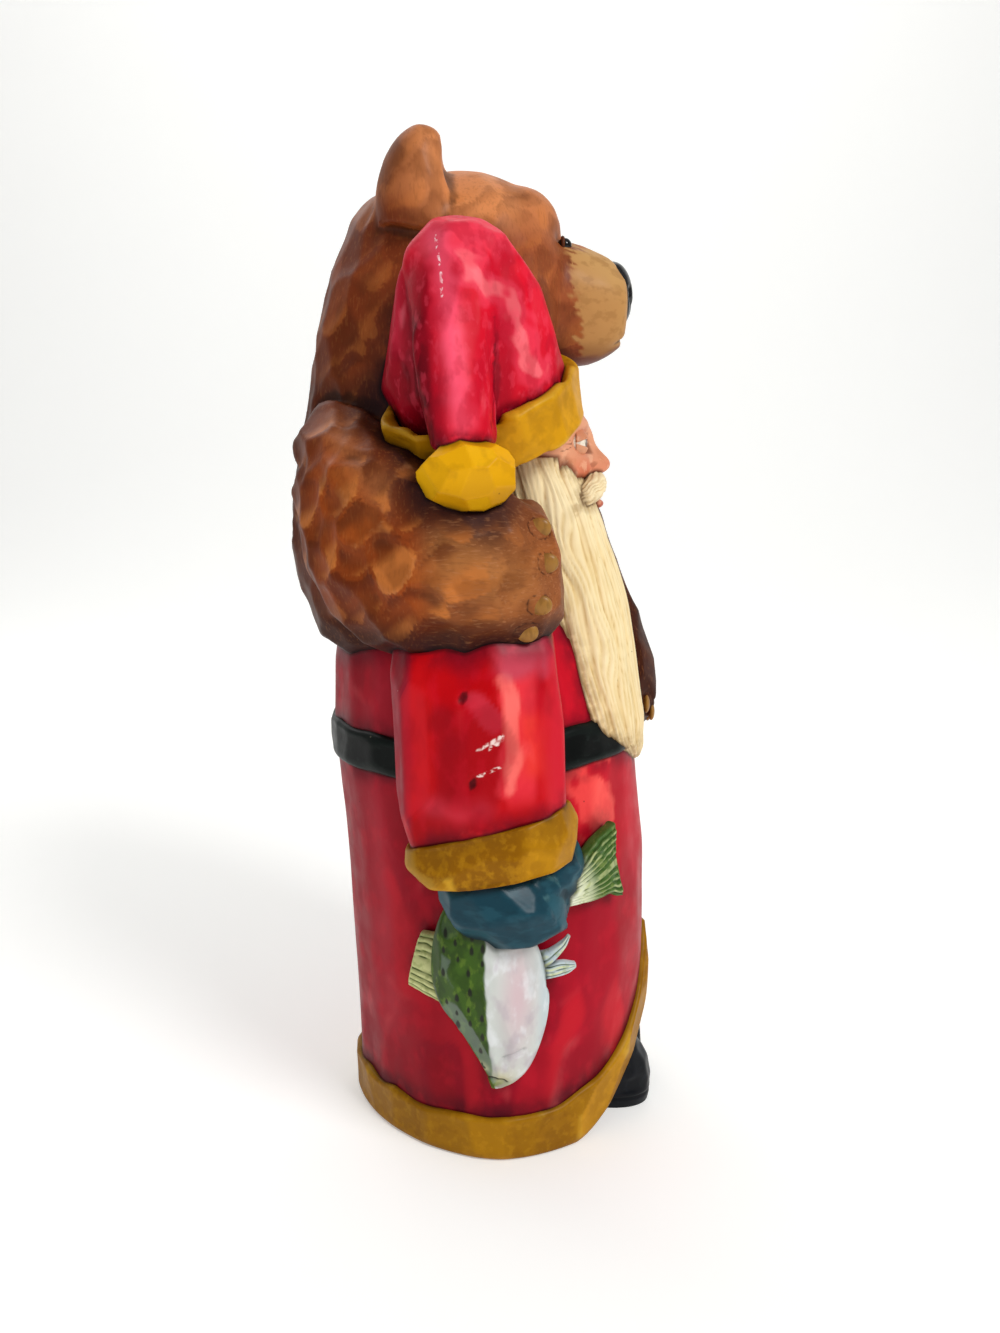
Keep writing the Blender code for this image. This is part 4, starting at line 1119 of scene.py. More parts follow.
def bearBody():
    points, quads = fused(bearForms(), bear["voxel"], 14)
    ink = np.zeros(len(points))
    for path in (bear["jaw"], inOtherHalf(bear["jaw"])):
        points, strength = pressLine(points, quads, path, 1.1, 1.5)
        ink = np.maximum(ink, strength)
    away, level, _ = bear["eyes"]
    for side in (-1, 1):
        close = np.hypot(points[:, 0] - bear["middle"] - side * away, points[:, 2] - level)
        points = shifted(points, 1, 1.6 * bell(close, 2.9) * (points[:, 1] < -4))  # eye socket
    points, strength = pressLine(points, quads, bear["neckLine"], 3.0, 1.8)
    ink = np.maximum(ink, strength * 0.35)
    for side in (-1, 1):
        bowl = np.array((bear["middle"] + side * 19.6, 12.0, 281.0))  # the hollow of the ear
        away = np.linalg.norm((points - bowl) / np.array((5.5, 4.0, 6.5)), axis=1)
        points = shifted(points, 1, 3.0 * bell(away, 1.0))
        ink = np.maximum(ink, 0.55 * bell(away, 0.9))
    x, y, z = points.T
    onFace = smoothStep((-y - 8) / 8) * smoothStep((z - 226) / 6)
    ears = smoothStep((z - 268) / 8)
    scooped = 0.55 + 0.9 * bell(awayFrom(points[:, 1:], bear["scooped"]), 20) * (x < 0)
    weight = scooped * (1 - 0.7 * onFace) * (1 - 0.6 * ears)
    points, tone, ridge, shade = scoops(points, quads, *bear["cut"], 111, weight)
    tree = BVHTree.FromPolygons(points.tolist(), facesOf(quads))
    seats = [seatOn(tree, (-292, cy, cz), (1, 0, 0)) for cy, cz in bear["rightClaws"]]
    seats += [seatOn(tree, (cx, -292, cz), (0, 1, 0)) for cx, cz in bear["leftClaws"]]
    normals = vertexNormals(points, quads)
    for i, seat in enumerate(seats):
        longSide = np.array((1.0, 1.35, 1.0)) if i < len(bear["rightClaws"]) else np.array((1.0, 1.0, 1.35))
        away = np.linalg.norm((points - seat) / longSide, axis=1)
        ring = bell(away - 2.9, 0.42)
        points = points - normals * (0.35 * ring)[:, None]
        ink = np.maximum(ink, ring * 0.7)
    x, y, z = points.T
    side = points[:, 1:]
    tuft = 1.3 * wander(points * np.array((1, 0.3, 1)), 1.7, 112) + 1.0 * wander(points, 7.0, 113)
    edge = -19.4 - (258.7 - z) * 0.2
    muzzle = smoothStep((edge - y + tuft) / 1.6 + 0.5)
    tan = muzzle * smoothStep((z - 231) / 4) * smoothStep((265 - z + tuft) / 2.5)
    jawLine = np.interp(-y, (20, 30, 36), (232.8, 233.6, 237.0))
    chin = smoothStep((jawLine - z) / 1.5 + 0.5) * smoothStep((-y - 16) / 5) * smoothStep((z - 222) / 3)
    arm = smoothStep((24 - y) / 10) * smoothStep((202 - z) / 6) * smoothStep((-x - 28) / 6)
    leftArm = smoothStep((x - 14) / 6) * smoothStep((212 - z) / 8)
    shoulder = bell(awayFrom(side, bear["shoulderLine"]), 17) * smoothStep((-x - 14) / 12)
    shadowed = bell(awayFrom(side, bear["shadowLine"]), 7.5) * (x < -10)
    head = smoothStep((z - 222) / 8)
    low = smoothStep((168 - z) / 12)
    # where painted light falls: most on the shoulder, then on the head and forearm, less low down
    lit = np.clip(shoulder * 1.1 + head * 0.35 + arm * 0.25, 0, 1) * (1 - low * 0.6)
    zone = zoned(
        len(points), "#602610",
        ("#8C4220", head * 0.95),
        # painted light on the crown and the front of the head
        ("#E8965C", head * smoothStep((z - 260) / 12) * smoothStep((30 - y) / 14) * 0.95),
        ("#A45A34", head * smoothStep((-2 - y) / 6) * smoothStep((z - 232) / 10) * 0.6),
        # painted shade on the back of the head
        ("#743012", head * bell(awayFrom(side, [(44, 236), (32, 262)]), 11) * 0.75),
        # painted light on the shoulder
        ("#A44A16", shoulder * 0.95),
        ("#A87048", bell(awayFrom(side, [(44, 212), (38, 204), (30, 196)]), 5) * (x < -10) * 0.5),
        ("#96562E", arm * 0.85),
        # painted highlight on the forearm
        ("#B87840", arm * bell(awayFrom(side, [(12, 180), (-2, 174)]), 8) * 0.7),
        ("#C07848", ears * 0.5),
        ("#50240F", leftArm * 0.7),
        ("#401C08", smoothStep((y - 46) / 12) * 0.55),
        # painted shade low on the body, where it sinks into the coat
        ("#2E1206", low * 0.85),
        # painted shadow under the hat and pompom
        ("#2E1816", shadowed * 0.85),
        ("#B88850", tan * 0.95),
        ("#C69A60", tan * bell(awayFrom(side, [(-24, 262), (-34, 256)]), 5) * 0.7),
        # painted shade under the muzzle and on the chin
        ("#8C5F38", tan * smoothStep((238 - z) / 4) * 0.7),
        ("#6A3E34", chin * 0.85),
    )
    notch = np.hypot((y - 14.6) / 2.4, (z - 266.6) / 2.0)
    ink = np.maximum(ink, 0.9 * bell(notch, 1.0) * (x < 0))
    fields = hollowFields(points, quads, fine=0.16, broad=1.6)
    fields["cavity"] *= 1 - 0.6 * onFace
    addPiece(
        "bear", "bear_brown", furLook, points, quads, zone,
        tone=tone * (1 - tan) + 0.5 * tan, ridge=ridge * (1 - tan), ink=ink, lit=lit * (1 - tan), arm=arm,
        shade=shade * (1 - tan) + 0.5 * tan, pale=tan, **fields,
    )
    return tree, seats


def bearFeatures(tree, seats):
    wide, thick, long = bear["clawRadii"]
    for i, seat in enumerate(seats):
        right = i < len(bear["rightClaws"])
        inward = np.array((1, 0, 0)) if right else np.array((0, 1, 0))
        radii = (thick, long, wide) if right else (wide, thick, long)
        points, quads = skin(eggRings(seat + inward * bear["clawSink"], radii, rows=18, sides=28))
        worn = np.clip(-hollowness(points, quads, 4) / 0.12, 0, 1)
        zone = zoned(len(points), "#94602A")
        addPiece(f"claw_{i + 1}", "bear_brown", clawLook, points, quads, zone, worn=worn)
    away, level, radius = bear["eyes"]
    for side, end in ((-1, "right"), (1, "left")):
        seat = seatOn(tree, (bear["middle"] + side * away, -292, level), (0, 1, 0))
        seat = seat + np.array((0, bear["eyeSink"], 0))
        points, quads = skin(eggRings(seat, (radius,) * 3, rows=28, sides=44))
        addPiece("bear_eye_" + end, "black_gloss", glossLook, points, quads, zoned(len(points), "#0A0706"))
        _, c, s = ovalPoints(48)
        turn = np.arange(10) * 2 * math.pi / 10
        tube = []
        for across, along in zip(c, s):
            rim = seat + np.array((across * (radius + 0.2), 0.5, along * (radius + 0.1)))
            out = (rim - seat) / np.linalg.norm(rim - seat)
            tube.append(rim + 0.5 * (np.outer(np.cos(turn), out) + np.outer(np.sin(turn), (0, 1, 0))))
        grid = np.array(tube)
        points = grid.reshape(-1, 3)
        quads = facingOut(points, gridQuads(*grid.shape[:2], closedRows=True))
        zone = zoned(len(points), "#4A2412")
        addPiece("bear_lid_" + end, "bear_brown", furLook, points, quads, zone, **hollowFields(points, quads))
    centre, radii = bear["nose"]
    points, quads = skin(eggRings(centre, radii, rows=56, sides=84))
    for side in (-1, 1):
        nostril = [(centre[0] + side * u, centre[2] + v) for u, v in ((2.2, -2.4), (3.8, -0.6), (4.2, 1.6))]
        dent = bell(awayFrom(points[:, ::2], nostril), 0.9) * (points[:, 1] < centre[1])
        points = shifted(points, 1, 1.1 * dent)
    split = bell(points[:, 0] - centre[0], 0.5) * (points[:, 1] < centre[1]) * (points[:, 2] < centre[2])
    points = shifted(points, 1, 0.7 * split)
    addPiece("bear_nose", "black_gloss", glossLook, points, quads, zoned(len(points), "#0C0B0C"))


bearFeatures(*bearBody())

# His head: even proportions, with the eyes half way up and a nose that ends half way from them to the chin
face = {
    "centre": (-6.0, -6.0, 207.0), "radii": (19.0, 20.0, 22.0),
    "eyeAway": 7.4, "eyeLevel": 1.0, "eyeRadius": 3.9, "eyeSink": 3.2,
    "noseTip": -6.0, "cheekAway": 9.4, "cheekLevel": -7.0,
    # side, opening and reach in degrees from the eye's middle, thickness, colour
    "lids": {"upper": (1, 18.0, 62.0, 0.62, "#CC8662"), "lower": (-1, 16.0, 46.0, 0.5, "#D89874")},
}

# Flesh enamel with a rosy bloom and brown rubbed into its fine lines
skinLook = {
    "name": "flesh_enamel_blended",
    "layers": (
        ("#C87850", 0.40, ("noise", 5.0, (1, 1, 1), 0.48, 0.64)),
        ("#F2BC98", 0.45, ("noise", 2.5, (1, 1, 1), 0.52, 0.66)),
        ("#6A3420", 0.75, ("by", "cavity", 0.25, 0.95)),
        ("#4A2010", 0.75, ("by", "gap", 1.3, 0.0)),
        ("#5A2A18", 0.55, ("specks", 3.2, (1, 1, 1), 0.06, 0.30)),
        ("#5A2A18", 0.85, ("by", "ink", 0.3, 0.9)),
    ),
    "rough": (0.38, 0.5), "varnish": 0.12,
    "relief": ((2.0, (1, 1, 1), 0.06), (0.35, (1, 1, 1), 0.012)),
}

# White of the eye, brown iris and black pupil, all in gloss
eyeLook = {
    "name": "eye_gloss_painted",
    "layers": (
        ("#8A7A6A", 0.30, ("noise", 1.5, (1, 1, 1), 0.5, 0.66)),
        ("#3A2418", 0.70, ("by", "gap", 0.5, 0.0)),
    ),
    "rough": (0.14, 0.22), "varnish": 0.5, "varnishRough": 0.08,
    "relief": ((1.0, (1, 1, 1), 0.02), (0.35, (1, 1, 1), 0.006)),
}


def headForm():
    cx, cy, cz = face["centre"]
    points, quads = skin(eggRings(face["centre"], face["radii"], rows=140, sides=210))
    u, v = points[:, 0] - cx, points[:, 2] - cz
    front = smoothStep((cy - points[:, 1]) / 6)
    aside = np.abs(u)
    eye, level = face["eyeAway"], face["eyeLevel"]
    along = np.clip((level + 3 - v) / (level + 3 - face["noseTip"]), 0, 1)
    bridge = (1.6 + 2.2 * along ** 1.4) * bell(u, 2.4 + 2.0 * along)
    bridge = bridge * smoothStep((v - face["noseTip"] + 4.2) / 3.4) * smoothStep((level + 7 - v) / 5)
    tip = 3.4 * bell(np.hypot(u / 4.4, (v - face["noseTip"] - 1.3) / 3.7), 1.0)
    wings = 1.9 * bell(np.hypot((aside - 3.7) / 1.7, (v - face["noseTip"] + 0.6) / 1.9), 1.0)
    cheeks = 2.4 * bell(np.hypot((aside - face["cheekAway"]) / 5.4, (v - face["cheekLevel"]) / 4.6), 1.0)
    sockets = 2.6 * bell(np.hypot((aside - eye) / 4.6, (v - level) / 3.2), 1.0)
    brow = 1.5 * bell(np.hypot((aside - eye) / 6.0, (v - level - 5.6) / 2.2), 1.0)
    pouch = 0.8 * bell(np.hypot((aside - eye) / 4.4, (v - level + 4.2) / 1.2), 1.0)
    out = front * (bridge + tip + wings + cheeks + brow + pouch - sockets)
    points = shifted(points, 1, -out)
    blush = front * bell(np.hypot((aside - face["cheekAway"]) / 5.0, (v - face["cheekLevel"]) / 4.4), 1.0)
    rosyTip = front * bell(np.hypot(u / 4.0, (v - face["noseTip"]) / 3.4), 1.0)
    crows = np.zeros(len(points))  # the fine lines beside his eyes
    for turn in (-0.5, 0.1, 0.7):
        start = (eye + 5.0, level - 0.4 + turn)
        end = (eye + 8.6, level - 0.4 + turn * 4.2)
        crows = np.maximum(crows, bell(awayFrom(np.stack([aside, v], axis=1), [start, end]), 0.22) * front)
    points = shifted(points, 1, 0.3 * crows)
    zone = zoned(
        len(points), "#E2A07C",
        ("#D2603E", blush * 0.75),
        ("#D06A4C", rosyTip * 0.7),
        ("#C07A58", front * bell(np.hypot((aside - eye) / 5.2, (v - level) / 3.8), 1.0) * 0.6),
    )
    fields = hollowFields(points, quads, fine=0.05, broad=0.6)
    addPiece("head", "skin", skinLook, points, quads, zone, ink=crows * 0.7, **fields)


# His eyes, set into the sockets: white, brown iris, black pupil and a glint, each between two lids
def eyesAndLids():
    cx, cy, cz = face["centre"]
    eye, level = face["eyeAway"], face["eyeLevel"]
    for side, end in ((-1, "right"), (1, "left")):
        x = side * eye
        wide, thick, tall = face["radii"]
        depth = math.sqrt(1 - (x / wide) ** 2 - (level / tall) ** 2) * thick
        centre = np.array((cx + x, cy - depth + face["eyeSink"], cz + level))
        gaze = np.array((side * 0.10, -1.0, -0.04))
        gaze /= np.linalg.norm(gaze)
        points, quads = skin(eggRings(centre, (face["eyeRadius"],) * 3, rows=44, sides=70))
        away = np.degrees(np.arccos(np.clip((points - centre) @ gaze / face["eyeRadius"], -1, 1)))
        light = centre + face["eyeRadius"] * (gaze + np.array((-0.13, 0, 0.16)))
        glint = np.linalg.norm(points - light, axis=1)
        zone = zoned(
            len(points), "#EDE4D2",
            ("#3A2012", smoothStep((29.5 - away) / 2.0)),
            ("#6E4424", smoothStep((26.0 - away) / 4.0) * 0.9),
            ("#080505", smoothStep((13.0 - away) / 1.6)),
            ("#FFFFFF", smoothStep((0.42 - glint) / 0.12)),
        )
        addPiece("eye_" + end, "skin", eyeLook, points, quads, zone)
        for lid, (sign, opening, reach, thick, colour) in face["lids"].items():
            span = np.radians(np.linspace(-83.9, 83.9, 60))
            lift = np.linspace(0, 1, 14)
            outer = face["eyeRadius"] + thick * smoothStep(lift / 0.12 + 0.25)
            rings = []
            for a, edge in zip(span, np.radians(opening * np.cos(span * 90 / 84) ** 0.8)):
                turn = edge + (math.radians(reach) - edge) * lift
                ahead = (math.sin(a), -math.cos(a), 0)
                shell = np.outer(outer * np.cos(turn), ahead) + np.outer(outer * np.sin(turn), (0, 0, sign))
                rings.append(np.vstack([shell, 0.8 * shell[::-1]]) + centre)
            points, quads = skin(np.array(rings))
            zone = zoned(len(points), colour)
            addPiece(f"{lid}_lid_{end}", "skin", skinLook, points, quads, zone, **hollowFields(points, quads))


headForm()
eyesAndLids()

hair = {
    # level, centre in x and y, half width in x, half depth in y
    "beard": (
        (204, -6.5, -6.0, 20.4, 16.4), (194, -6.2, -10.0, 20.6, 17.4), (180, -5.6, -14.6, 20.6, 18.0),
        (164, -5.4, -17.6, 21.0, 20.4), (151, -5.4, -20.4, 20.6, 20.2), (139, -5.6, -24.6, 22.4, 17.8),
        (132, -5.6, -26.6, 24.6, 16.8), (127, -5.6, -28.2, 24.8, 16.0), (121.5, -5.6, -31.0, 20.0, 13.2),
        (117, -5.4, -34.2, 13.6, 10.2), (113.3, -5.0, -37.4, 6.8, 6.2),
    ),
    "strands": 74, "strandDepth": 0.7, "locks": 17, "lockDepth": 0.9, "wave": 13.0,
    "moustache": (
        (0.6, -26.2, -9.4, 2.3, 2.3), (3.8, -28.0, -10.3, 3.6, 3.2), (7.8, -26.8, -12.0, 3.8, 3.2),
        (11.4, -23.6, -14.6, 2.8, 2.6), (13.8, -20.6, -17.0, 1.6, 1.6), (15.2, -18.8, -19.0, 0.8, 0.8),
    ),
    "eyebrow": (
        (2.6, -21.0, 6.4, 1.6, 1.4), (6.4, -20.8, 8.4, 2.6, 2.0), (10.6, -18.6, 8.6, 2.6, 2.0),
        (14.0, -15.0, 6.4, 1.2, 1.2),
    ),
    "lip": (-28.7, -16.4), "lipRadii": (4.4, 2.0, 1.4),
}

# Cream enamel with umber wiped into the strands, and painted shade near other pieces
hairLook = {
    "name": "cream_enamel_wiped",
    "layers": (
        ("#DCBC7C", 0.40, ("noise", 9.0, (1, 1, 2), 0.48, 0.62)),
        ("#FCEAC0", 0.60, ("by", "worn", 0.35, 1.0), ("noise", 3.0, (1, 1, 2), 0.26, 0.50)),
        ("#C09048", 0.50, ("by", "cavity", 0.40, 0.95), ("noise", 3.0, (1, 1, 2.5), 0.36, 0.56)),
        ("#7A4E20", 0.55, ("by", "cavity", 0.80, 1.2), ("noise", 4.0, (1, 1, 2), 0.42, 0.6)),
        ("#9A7440", 0.60, ("by", "gap", 4.0, 0.0), ("noise", 3.0, (1, 1, 1), 0.3, 0.6)),
        ("#5A3A1C", 0.75, ("by", "gap", 0.8, 0.0)),
        ("#6A4A28", 0.50, ("specks", 5.0, (1, 1, 1), 0.05, 0.25)),
    ),
    "rough": (0.42, 0.56), "varnish": 0.08,
    "relief": ((0.7, (1, 1, 6), 0.10), (0.4, (1, 1, 1), 0.012)),
}


# 1 at the bottom of each groove, 0 between them
def valleys(phase, sharp):
    return np.abs(2 * (phase % 1) - 1) ** sharp


def beardForm():
    sides = 226
    angles, c, s = ovalPoints(sides)
    rings, strands, locks = [], [], []
    for level, x, y, wide, deep in through(hair["beard"], 24):
        ring = np.stack([x + wide * c, y + deep * s, np.full_like(c, level)], axis=1)
        sway = 0.9 * math.sin(level / hair["wave"]) + 0.5 * math.sin(level / 7.1 + 1.0)
        turning = np.stack([np.cos(angles) * 16, np.sin(angles) * 16, np.full_like(c, level * 0.35)], axis=1)
        drift = 0.34 * wander(turning, 10.0, 121)
        turns = angles / (2 * math.pi)
        strand = valleys(turns * hair["strands"] + sway * 0.8 + drift * 2.2, 2.0)
        lock = valleys(turns * hair["locks"] + sway * 0.35 + drift * 0.8, 3.0)
        out = np.stack([c, s, 0 * c], axis=1)
        taper = min(1.0, wide / 13.0)
        heavy = 0.55 + 0.45 * wander(turning, 5.0, 122)
        depth = (hair["strandDepth"] * strand * np.clip(heavy, 0.3, 1) + hair["lockDepth"] * lock) * taper
        rings.append(ring - out * depth[:, None])
        strands.append(strand)
        locks.append(lock)
    points, quads = skin(np.array(rings))
    strand, lock = (capped(np.array(rows)[:, :, None])[:, 0] for rows in (strands, locks))
    z = points[:, 2]
    zone = zoned(
        len(points), "#F0D8A4",
        ("#E8C890", smoothStep((150 - z) / 25) * 0.5),
        ("#F4E4BC", bell(z - 192, 10) * 0.5),
    )
    fields = {"cavity": 0.75 * strand + 0.45 * lock, "worn": (1 - strand) * (1 - 0.5 * lock)}
    addPiece("beard", "beard_cream", hairLook, points, quads, zone, **fields)


# A tapering lock with strands that run along it
def tuft(name, stations, across, strands, depth, seed):
    rings = limbRings(stations, across, (0.8, 0.8), steps=11, sides=90)
    rows, sides = rings.shape[:2]
    points, quads = skin(rings)
    turns = capped(np.repeat((np.arange(sides) / sides)[None, :, None], rows, axis=0))[:, 0]
    valley = valleys(turns * strands + 0.5 * wander(points, 6.0, seed), 2.0)
    points = points - vertexNormals(points, quads) * (depth * valley)[:, None]
    fields = {"cavity": valley, "worn": 1 - valley}
    addPiece(name, "beard_cream", hairLook, points, quads, zoned(len(points), "#F2DCB0"), **fields)


def moustacheAndEyebrows():
    cx, _, cz = face["centre"]
    for side, end in ((-1, "right"), (1, "left")):
        for kind, strands, depth in (("moustache", 13, 0.5), ("eyebrow", 9, 0.3)):
            rows = [(cx + side * u, v, cz + w, a, b) for u, v, w, a, b in hair[kind]]
            tuft(f"{kind}_{end}", rows, up, strands, depth, 131 + side)
    lipY, lipZ = hair["lip"]
    points, quads = skin(eggRings((cx, lipY, cz + lipZ), hair["lipRadii"], rows=30, sides=48))
    fields = hollowFields(points, quads)
    addPiece("lower_lip", "skin", skinLook, points, quads, zoned(len(points), "#BC6048"), **fields)


beardForm()
moustacheAndEyebrows()

hat = {
    "cut": (9.0, 0.7), "brimCut": (9.5, 0.9), "pompomCut": (6.6, 0.9),
    "brimCentre": (-18.0, 4.2, 216.5), "lean": 24.0, "tip": 17.0, "brimRadii": (25.0, 24.8),
    "brimHeight": 13.6, "brimThickness": 6.0, "flareFrom": 10.0, "flare": 0.62,
    "crown": (
        (-16, 5.4, 215, 21.0, 20.4), (-24, 7.0, 224, 24.8, 21.6), (-31, 8.0, 237, 22.2, 18.8),
        (-36, 9.4, 248, 18.4, 14.4), (-38, 10.6, 257.4, 13.0, 9.4),
    ),
    "tail": (
        (-34, 9.4, 257.0, 12.4, 8.8), (-40, 11.4, 254, 12.6, 8.6), (-45.0, 12.0, 244, 12.2, 8.6),
        (-47.6, 11.6, 231, 11.2, 8.8), (-49.4, 10.4, 219, 10.2, 8.4), (-50.6, 9.4, 208, 8.8, 7.4),
    ),
    "folds": (
        ((-50, 1.2, 238), (-50, 0.6, 228), (-50, 1.0, 214)),
        ((-46, 24.4, 240), (-47, 23.0, 226), (-46, 21.4, 210)),
    ),
    "creaseLine": ((1.5, 238.6), (1.2, 232.7), (1.5, 225.5), (1.8, 218.2), (2.0, 210.4)),
    "leftFold": ((22.4, 236.0), (21.0, 226.0), (19.0, 217.0), (17.6, 209.0)),
    "chipLine": ((16.1, 259.0), (15.4, 254.0), (14.5, 248.6), (14.3, 242.8)),
    "tailCrest": ((16.0, 258.0), (14.2, 250.0), (12.6, 240.0), (11.2, 227.0), (9.6, 213.0)),
    "lightPlane": ((9.0, 254.0), (5.0, 247.0), (-2.6, 242.4), (-5.5, 233.0), (-9.3, 225.6)),
    "pompomCentre": (-54.6, 7.8, 199.4), "pompomRadii": (10.4, 12.4, 9.9),
}

# Pink-crimson enamel: the hat's red is cooler than the coat's, with painted pink highlights on its crests and
# painted shade near other pieces
hatLook = {
    "name": "pink_crimson_enamel_brushed",
    "layers": (
        ("#9C0820", 0.40, ("by", "tone", 0.42, 0.0)),
        ("#F03850", 0.45, ("by", "tone", 0.62, 1.0)),
        ("#FF8090", 0.40, ("by", "ridge", 0.4, 1.0), ("noise", 7.0, (1, 1, 2), 0.40, 0.60)),
        ("#B00824", 0.40, ("noise", 6.0, (1, 1, 1.6), 0.50, 0.62)),
        ("#F04860", 0.25, ("noise", 2.4, (1, 1, 1.6), 0.52, 0.66)),
        ("#6A0418", 0.55, ("by", "cavity", 0.25, 1.0)),
        ("#3A0414", 0.75, ("by", "gap", 3.5, 0.0), ("noise", 3.0, (1, 1, 1), 0.25, 0.6)),
        ("#2A040C", 0.80, ("by", "gap", 0.8, 0.0)),
        ("#FFE8EC", 0.90, ("by", "chip", 0.35, 0.9), ("noise", 1.3, (1, 1, 1.4), 0.48, 0.58)),
        ("#2A0410", 0.90, ("by", "ink", 0.3, 0.85)),
        ("#FFE0E4", 0.75, ("specks", 11.0, (1, 1, 1), 0.035, 0.3)),
    ),
    "rough": (0.38, 0.50), "varnish": 0.03,
    "relief": ((4.0, (1, 1, 2), 0.08), (1.2, (1, 1, 1.6), 0.02), (0.5, (1, 1, 1), 0.014)),
}


def hatForms():
    crown = skin(limbRings(hat["crown"], (0, 1, 0), (2, 5.5)))
    tail = skin(limbRings(hat["tail"], (0, 1, 0), (5, 3)))
    points, quads = fused([crown, tail], 0.66, 3)
    for fold in hat["folds"]:
        points, _ = pressLine(points, quads, fold, 2.8, 0.7)
    points, tone, ridge = carve(points, quads, *hat["cut"], 141, (1, 1, 2.0), hollow=0.7, eased=9)
    side = points[:, 1:]
    normals = vertexNormals(points, quads)
    shown = smoothStep((-normals[:, 0] - 0.05) / 0.3)
    y, z = side.T
    line = awayFrom(side, hat["creaseLine"])
    points = shifted(points, 0, 0.22 * bell(line, 0.7) * shown)
    ink = 0.6 * bell(line + 0.25 * wander(points, 2.0, 142), 0.4) * shown * smoothStep((240 - z) / 8)
    chip = bell(awayFrom(side, hat["chipLine"]), 0.42) * shown
    edged = 1.1 * wander(points, 6.0, 143)
    plane = awayFrom(side, hat["lightPlane"]) + edged
    beside = smoothStep((6.4 - line) / 3.0) * smoothStep((2.6 - y) / 2)
    zone = zoned(
        len(points), "#D80C28",
        # painted highlight on the crown's lit facet
        ("#E83850", smoothStep((5.0 - plane) / 2.0) * 0.8),
        ("#FF7880", smoothStep((2.2 - plane) / 1.2) * 0.75),
        ("#F84C64", smoothStep((z - 251) / 6 + 0.3 * edged) * 0.5),
        ("#C00820", bell(y - 5.5 + 0.4 * edged, 3.2) * smoothStep((246 - z) / 10) * 0.5),
        # painted highlight along the tail's crest
        ("#FF5874", bell(awayFrom(side, hat["tailCrest"]) + 0.4 * edged, 3.0) * 0.95),
        # painted shade beside the crease
        ("#A80420", beside * smoothStep((243 - z) / 6) * 0.75),
        # painted shade on the left side
        ("#94021A", smoothStep((y - 16.4 + 0.5 * edged) / 1.6) * smoothStep((256 - z) / 10) * 0.92),
        # painted shade in the left fold
        ("#5A0412", bell(awayFrom(side, hat["leftFold"]) + 0.7 * edged, 4.0) * 0.95),
        ("#D82444", smoothStep((y - 24) / 3) * smoothStep((z - 226) / 10) * 0.5),
        ("#C01830", smoothStep((-y - 10) / 6) * 0.3),
    )
    fields = {**hollowFields(points, quads), "ink": ink, "chip": chip}
    addPiece("hat", "coat_red", hatLook, points, quads, zone, tone=tone, ridge=ridge, **fields)


def brimForm():
    around, sides = 260, 40
    _, c, s = ovalPoints(sides, 3.4)
    tipped = Matrix.Rotation(math.radians(-hat["tip"]), 3, "X")
    lean = np.array(tipped @ Matrix.Rotation(math.radians(-hat["lean"]), 3, "Y"))
    sections = []
    for angle in np.arange(around) * 2 * math.pi / around:
        x = (hat["brimRadii"][0] + hat["brimThickness"] / 2 * c) * math.cos(angle)
        y = (hat["brimRadii"][1] + hat["brimThickness"] / 2 * c) * math.sin(angle)
        sections.append(np.stack([x, y, hat["brimHeight"] / 2 * s], axis=1) @ lean.T)
    grid = np.array(sections) + np.array(hat["brimCentre"])
    points = grid.reshape(-1, 3)
    lower = np.tile(np.clip(-s, 0, 1), around)
    behind = smoothStep((points[:, 1] - 8) / 8) * (points[:, 0] < hat["brimCentre"][0])
    points[:, 2] -= 5.0 * lower * behind
    points[:, 0] -= hat["flare"] * np.maximum(0, points[:, 1] - hat["flareFrom"])
    quads = facingOut(points, gridQuads(*grid.shape[:2], closedRows=True))
    points, tone, ridge = carve(points, quads, *hat["brimCut"], 151, hollow=0.3, eased=2)
    zone = zoned(len(points), "#D09408", ("#AC7608", smoothStep((points[:, 1] - 10) / 14) * 0.6))
    fields = hollowFields(points, quads)
    addPiece("brim", "trim_mustard", mustardLook, points, quads, zone, tone=tone, ridge=ridge, **fields)


# Yellow enamel on flat knife cuts, with painted shade near other pieces
yellowLook = {
    "name": "yellow_enamel_on_knife_cuts",
    "layers": (
        ("#B07C04", 0.30, ("by", "tone", 0.45, 0.0)),
        ("#F6C410", 0.30, ("by", "tone", 0.58, 1.0)),
        ("#FCD84C", 0.30, ("by", "ridge", 0.55, 1.0)),
        ("#B88004", 0.35, ("noise", 5.0, (1, 1, 1), 0.5, 0.66)),
        ("#6A4A0A", 0.60, ("by", "gap", 3.5, 0.0)),
        ("#2A1806", 0.85, ("by", "gap", 0.9, 0.0)),
        ("#5A3A08", 0.60, ("specks", 6.0, (1, 1, 1), 0.05, 0.3)),
    ),
    "rough": (0.36, 0.48), "varnish": 0.10,
    "relief": ((3.0, (1, 1, 1), 0.08), (0.4, (1, 1, 1), 0.012)),
}


def pompomForm():
    points, quads = skin(eggRings(hat["pompomCentre"], hat["pompomRadii"], rows=90, sides=150))
    points, tone, ridge = carve(points, quads, *hat["pompomCut"], 161, hollow=0.1, eased=0, uneven=0.5)
    # painted shade: darker on its bottom, most toward the front
    low = smoothStep((201 - points[:, 2]) / 10)
    lowFront = low * smoothStep((4 - points[:, 1]) / 8)
    zone = zoned(len(points), "#EAAA06", ("#A87004", low * 0.65), ("#8A5A04", lowFront * 0.5))
    fields = hollowFields(points, quads)
    addPiece("pompom", "trim_mustard", yellowLook, points, quads, zone, tone=tone, ridge=ridge, **fields)


hatForms()
brimForm()
pompomForm()


# Features set into a face or paw, which neither cast nor take the dark wash and painted shade that lie
# between pieces
features = ("claw", "eye_", "upper_lid", "lower_lid", "bear_eye", "bear_lid", "bear_nose")
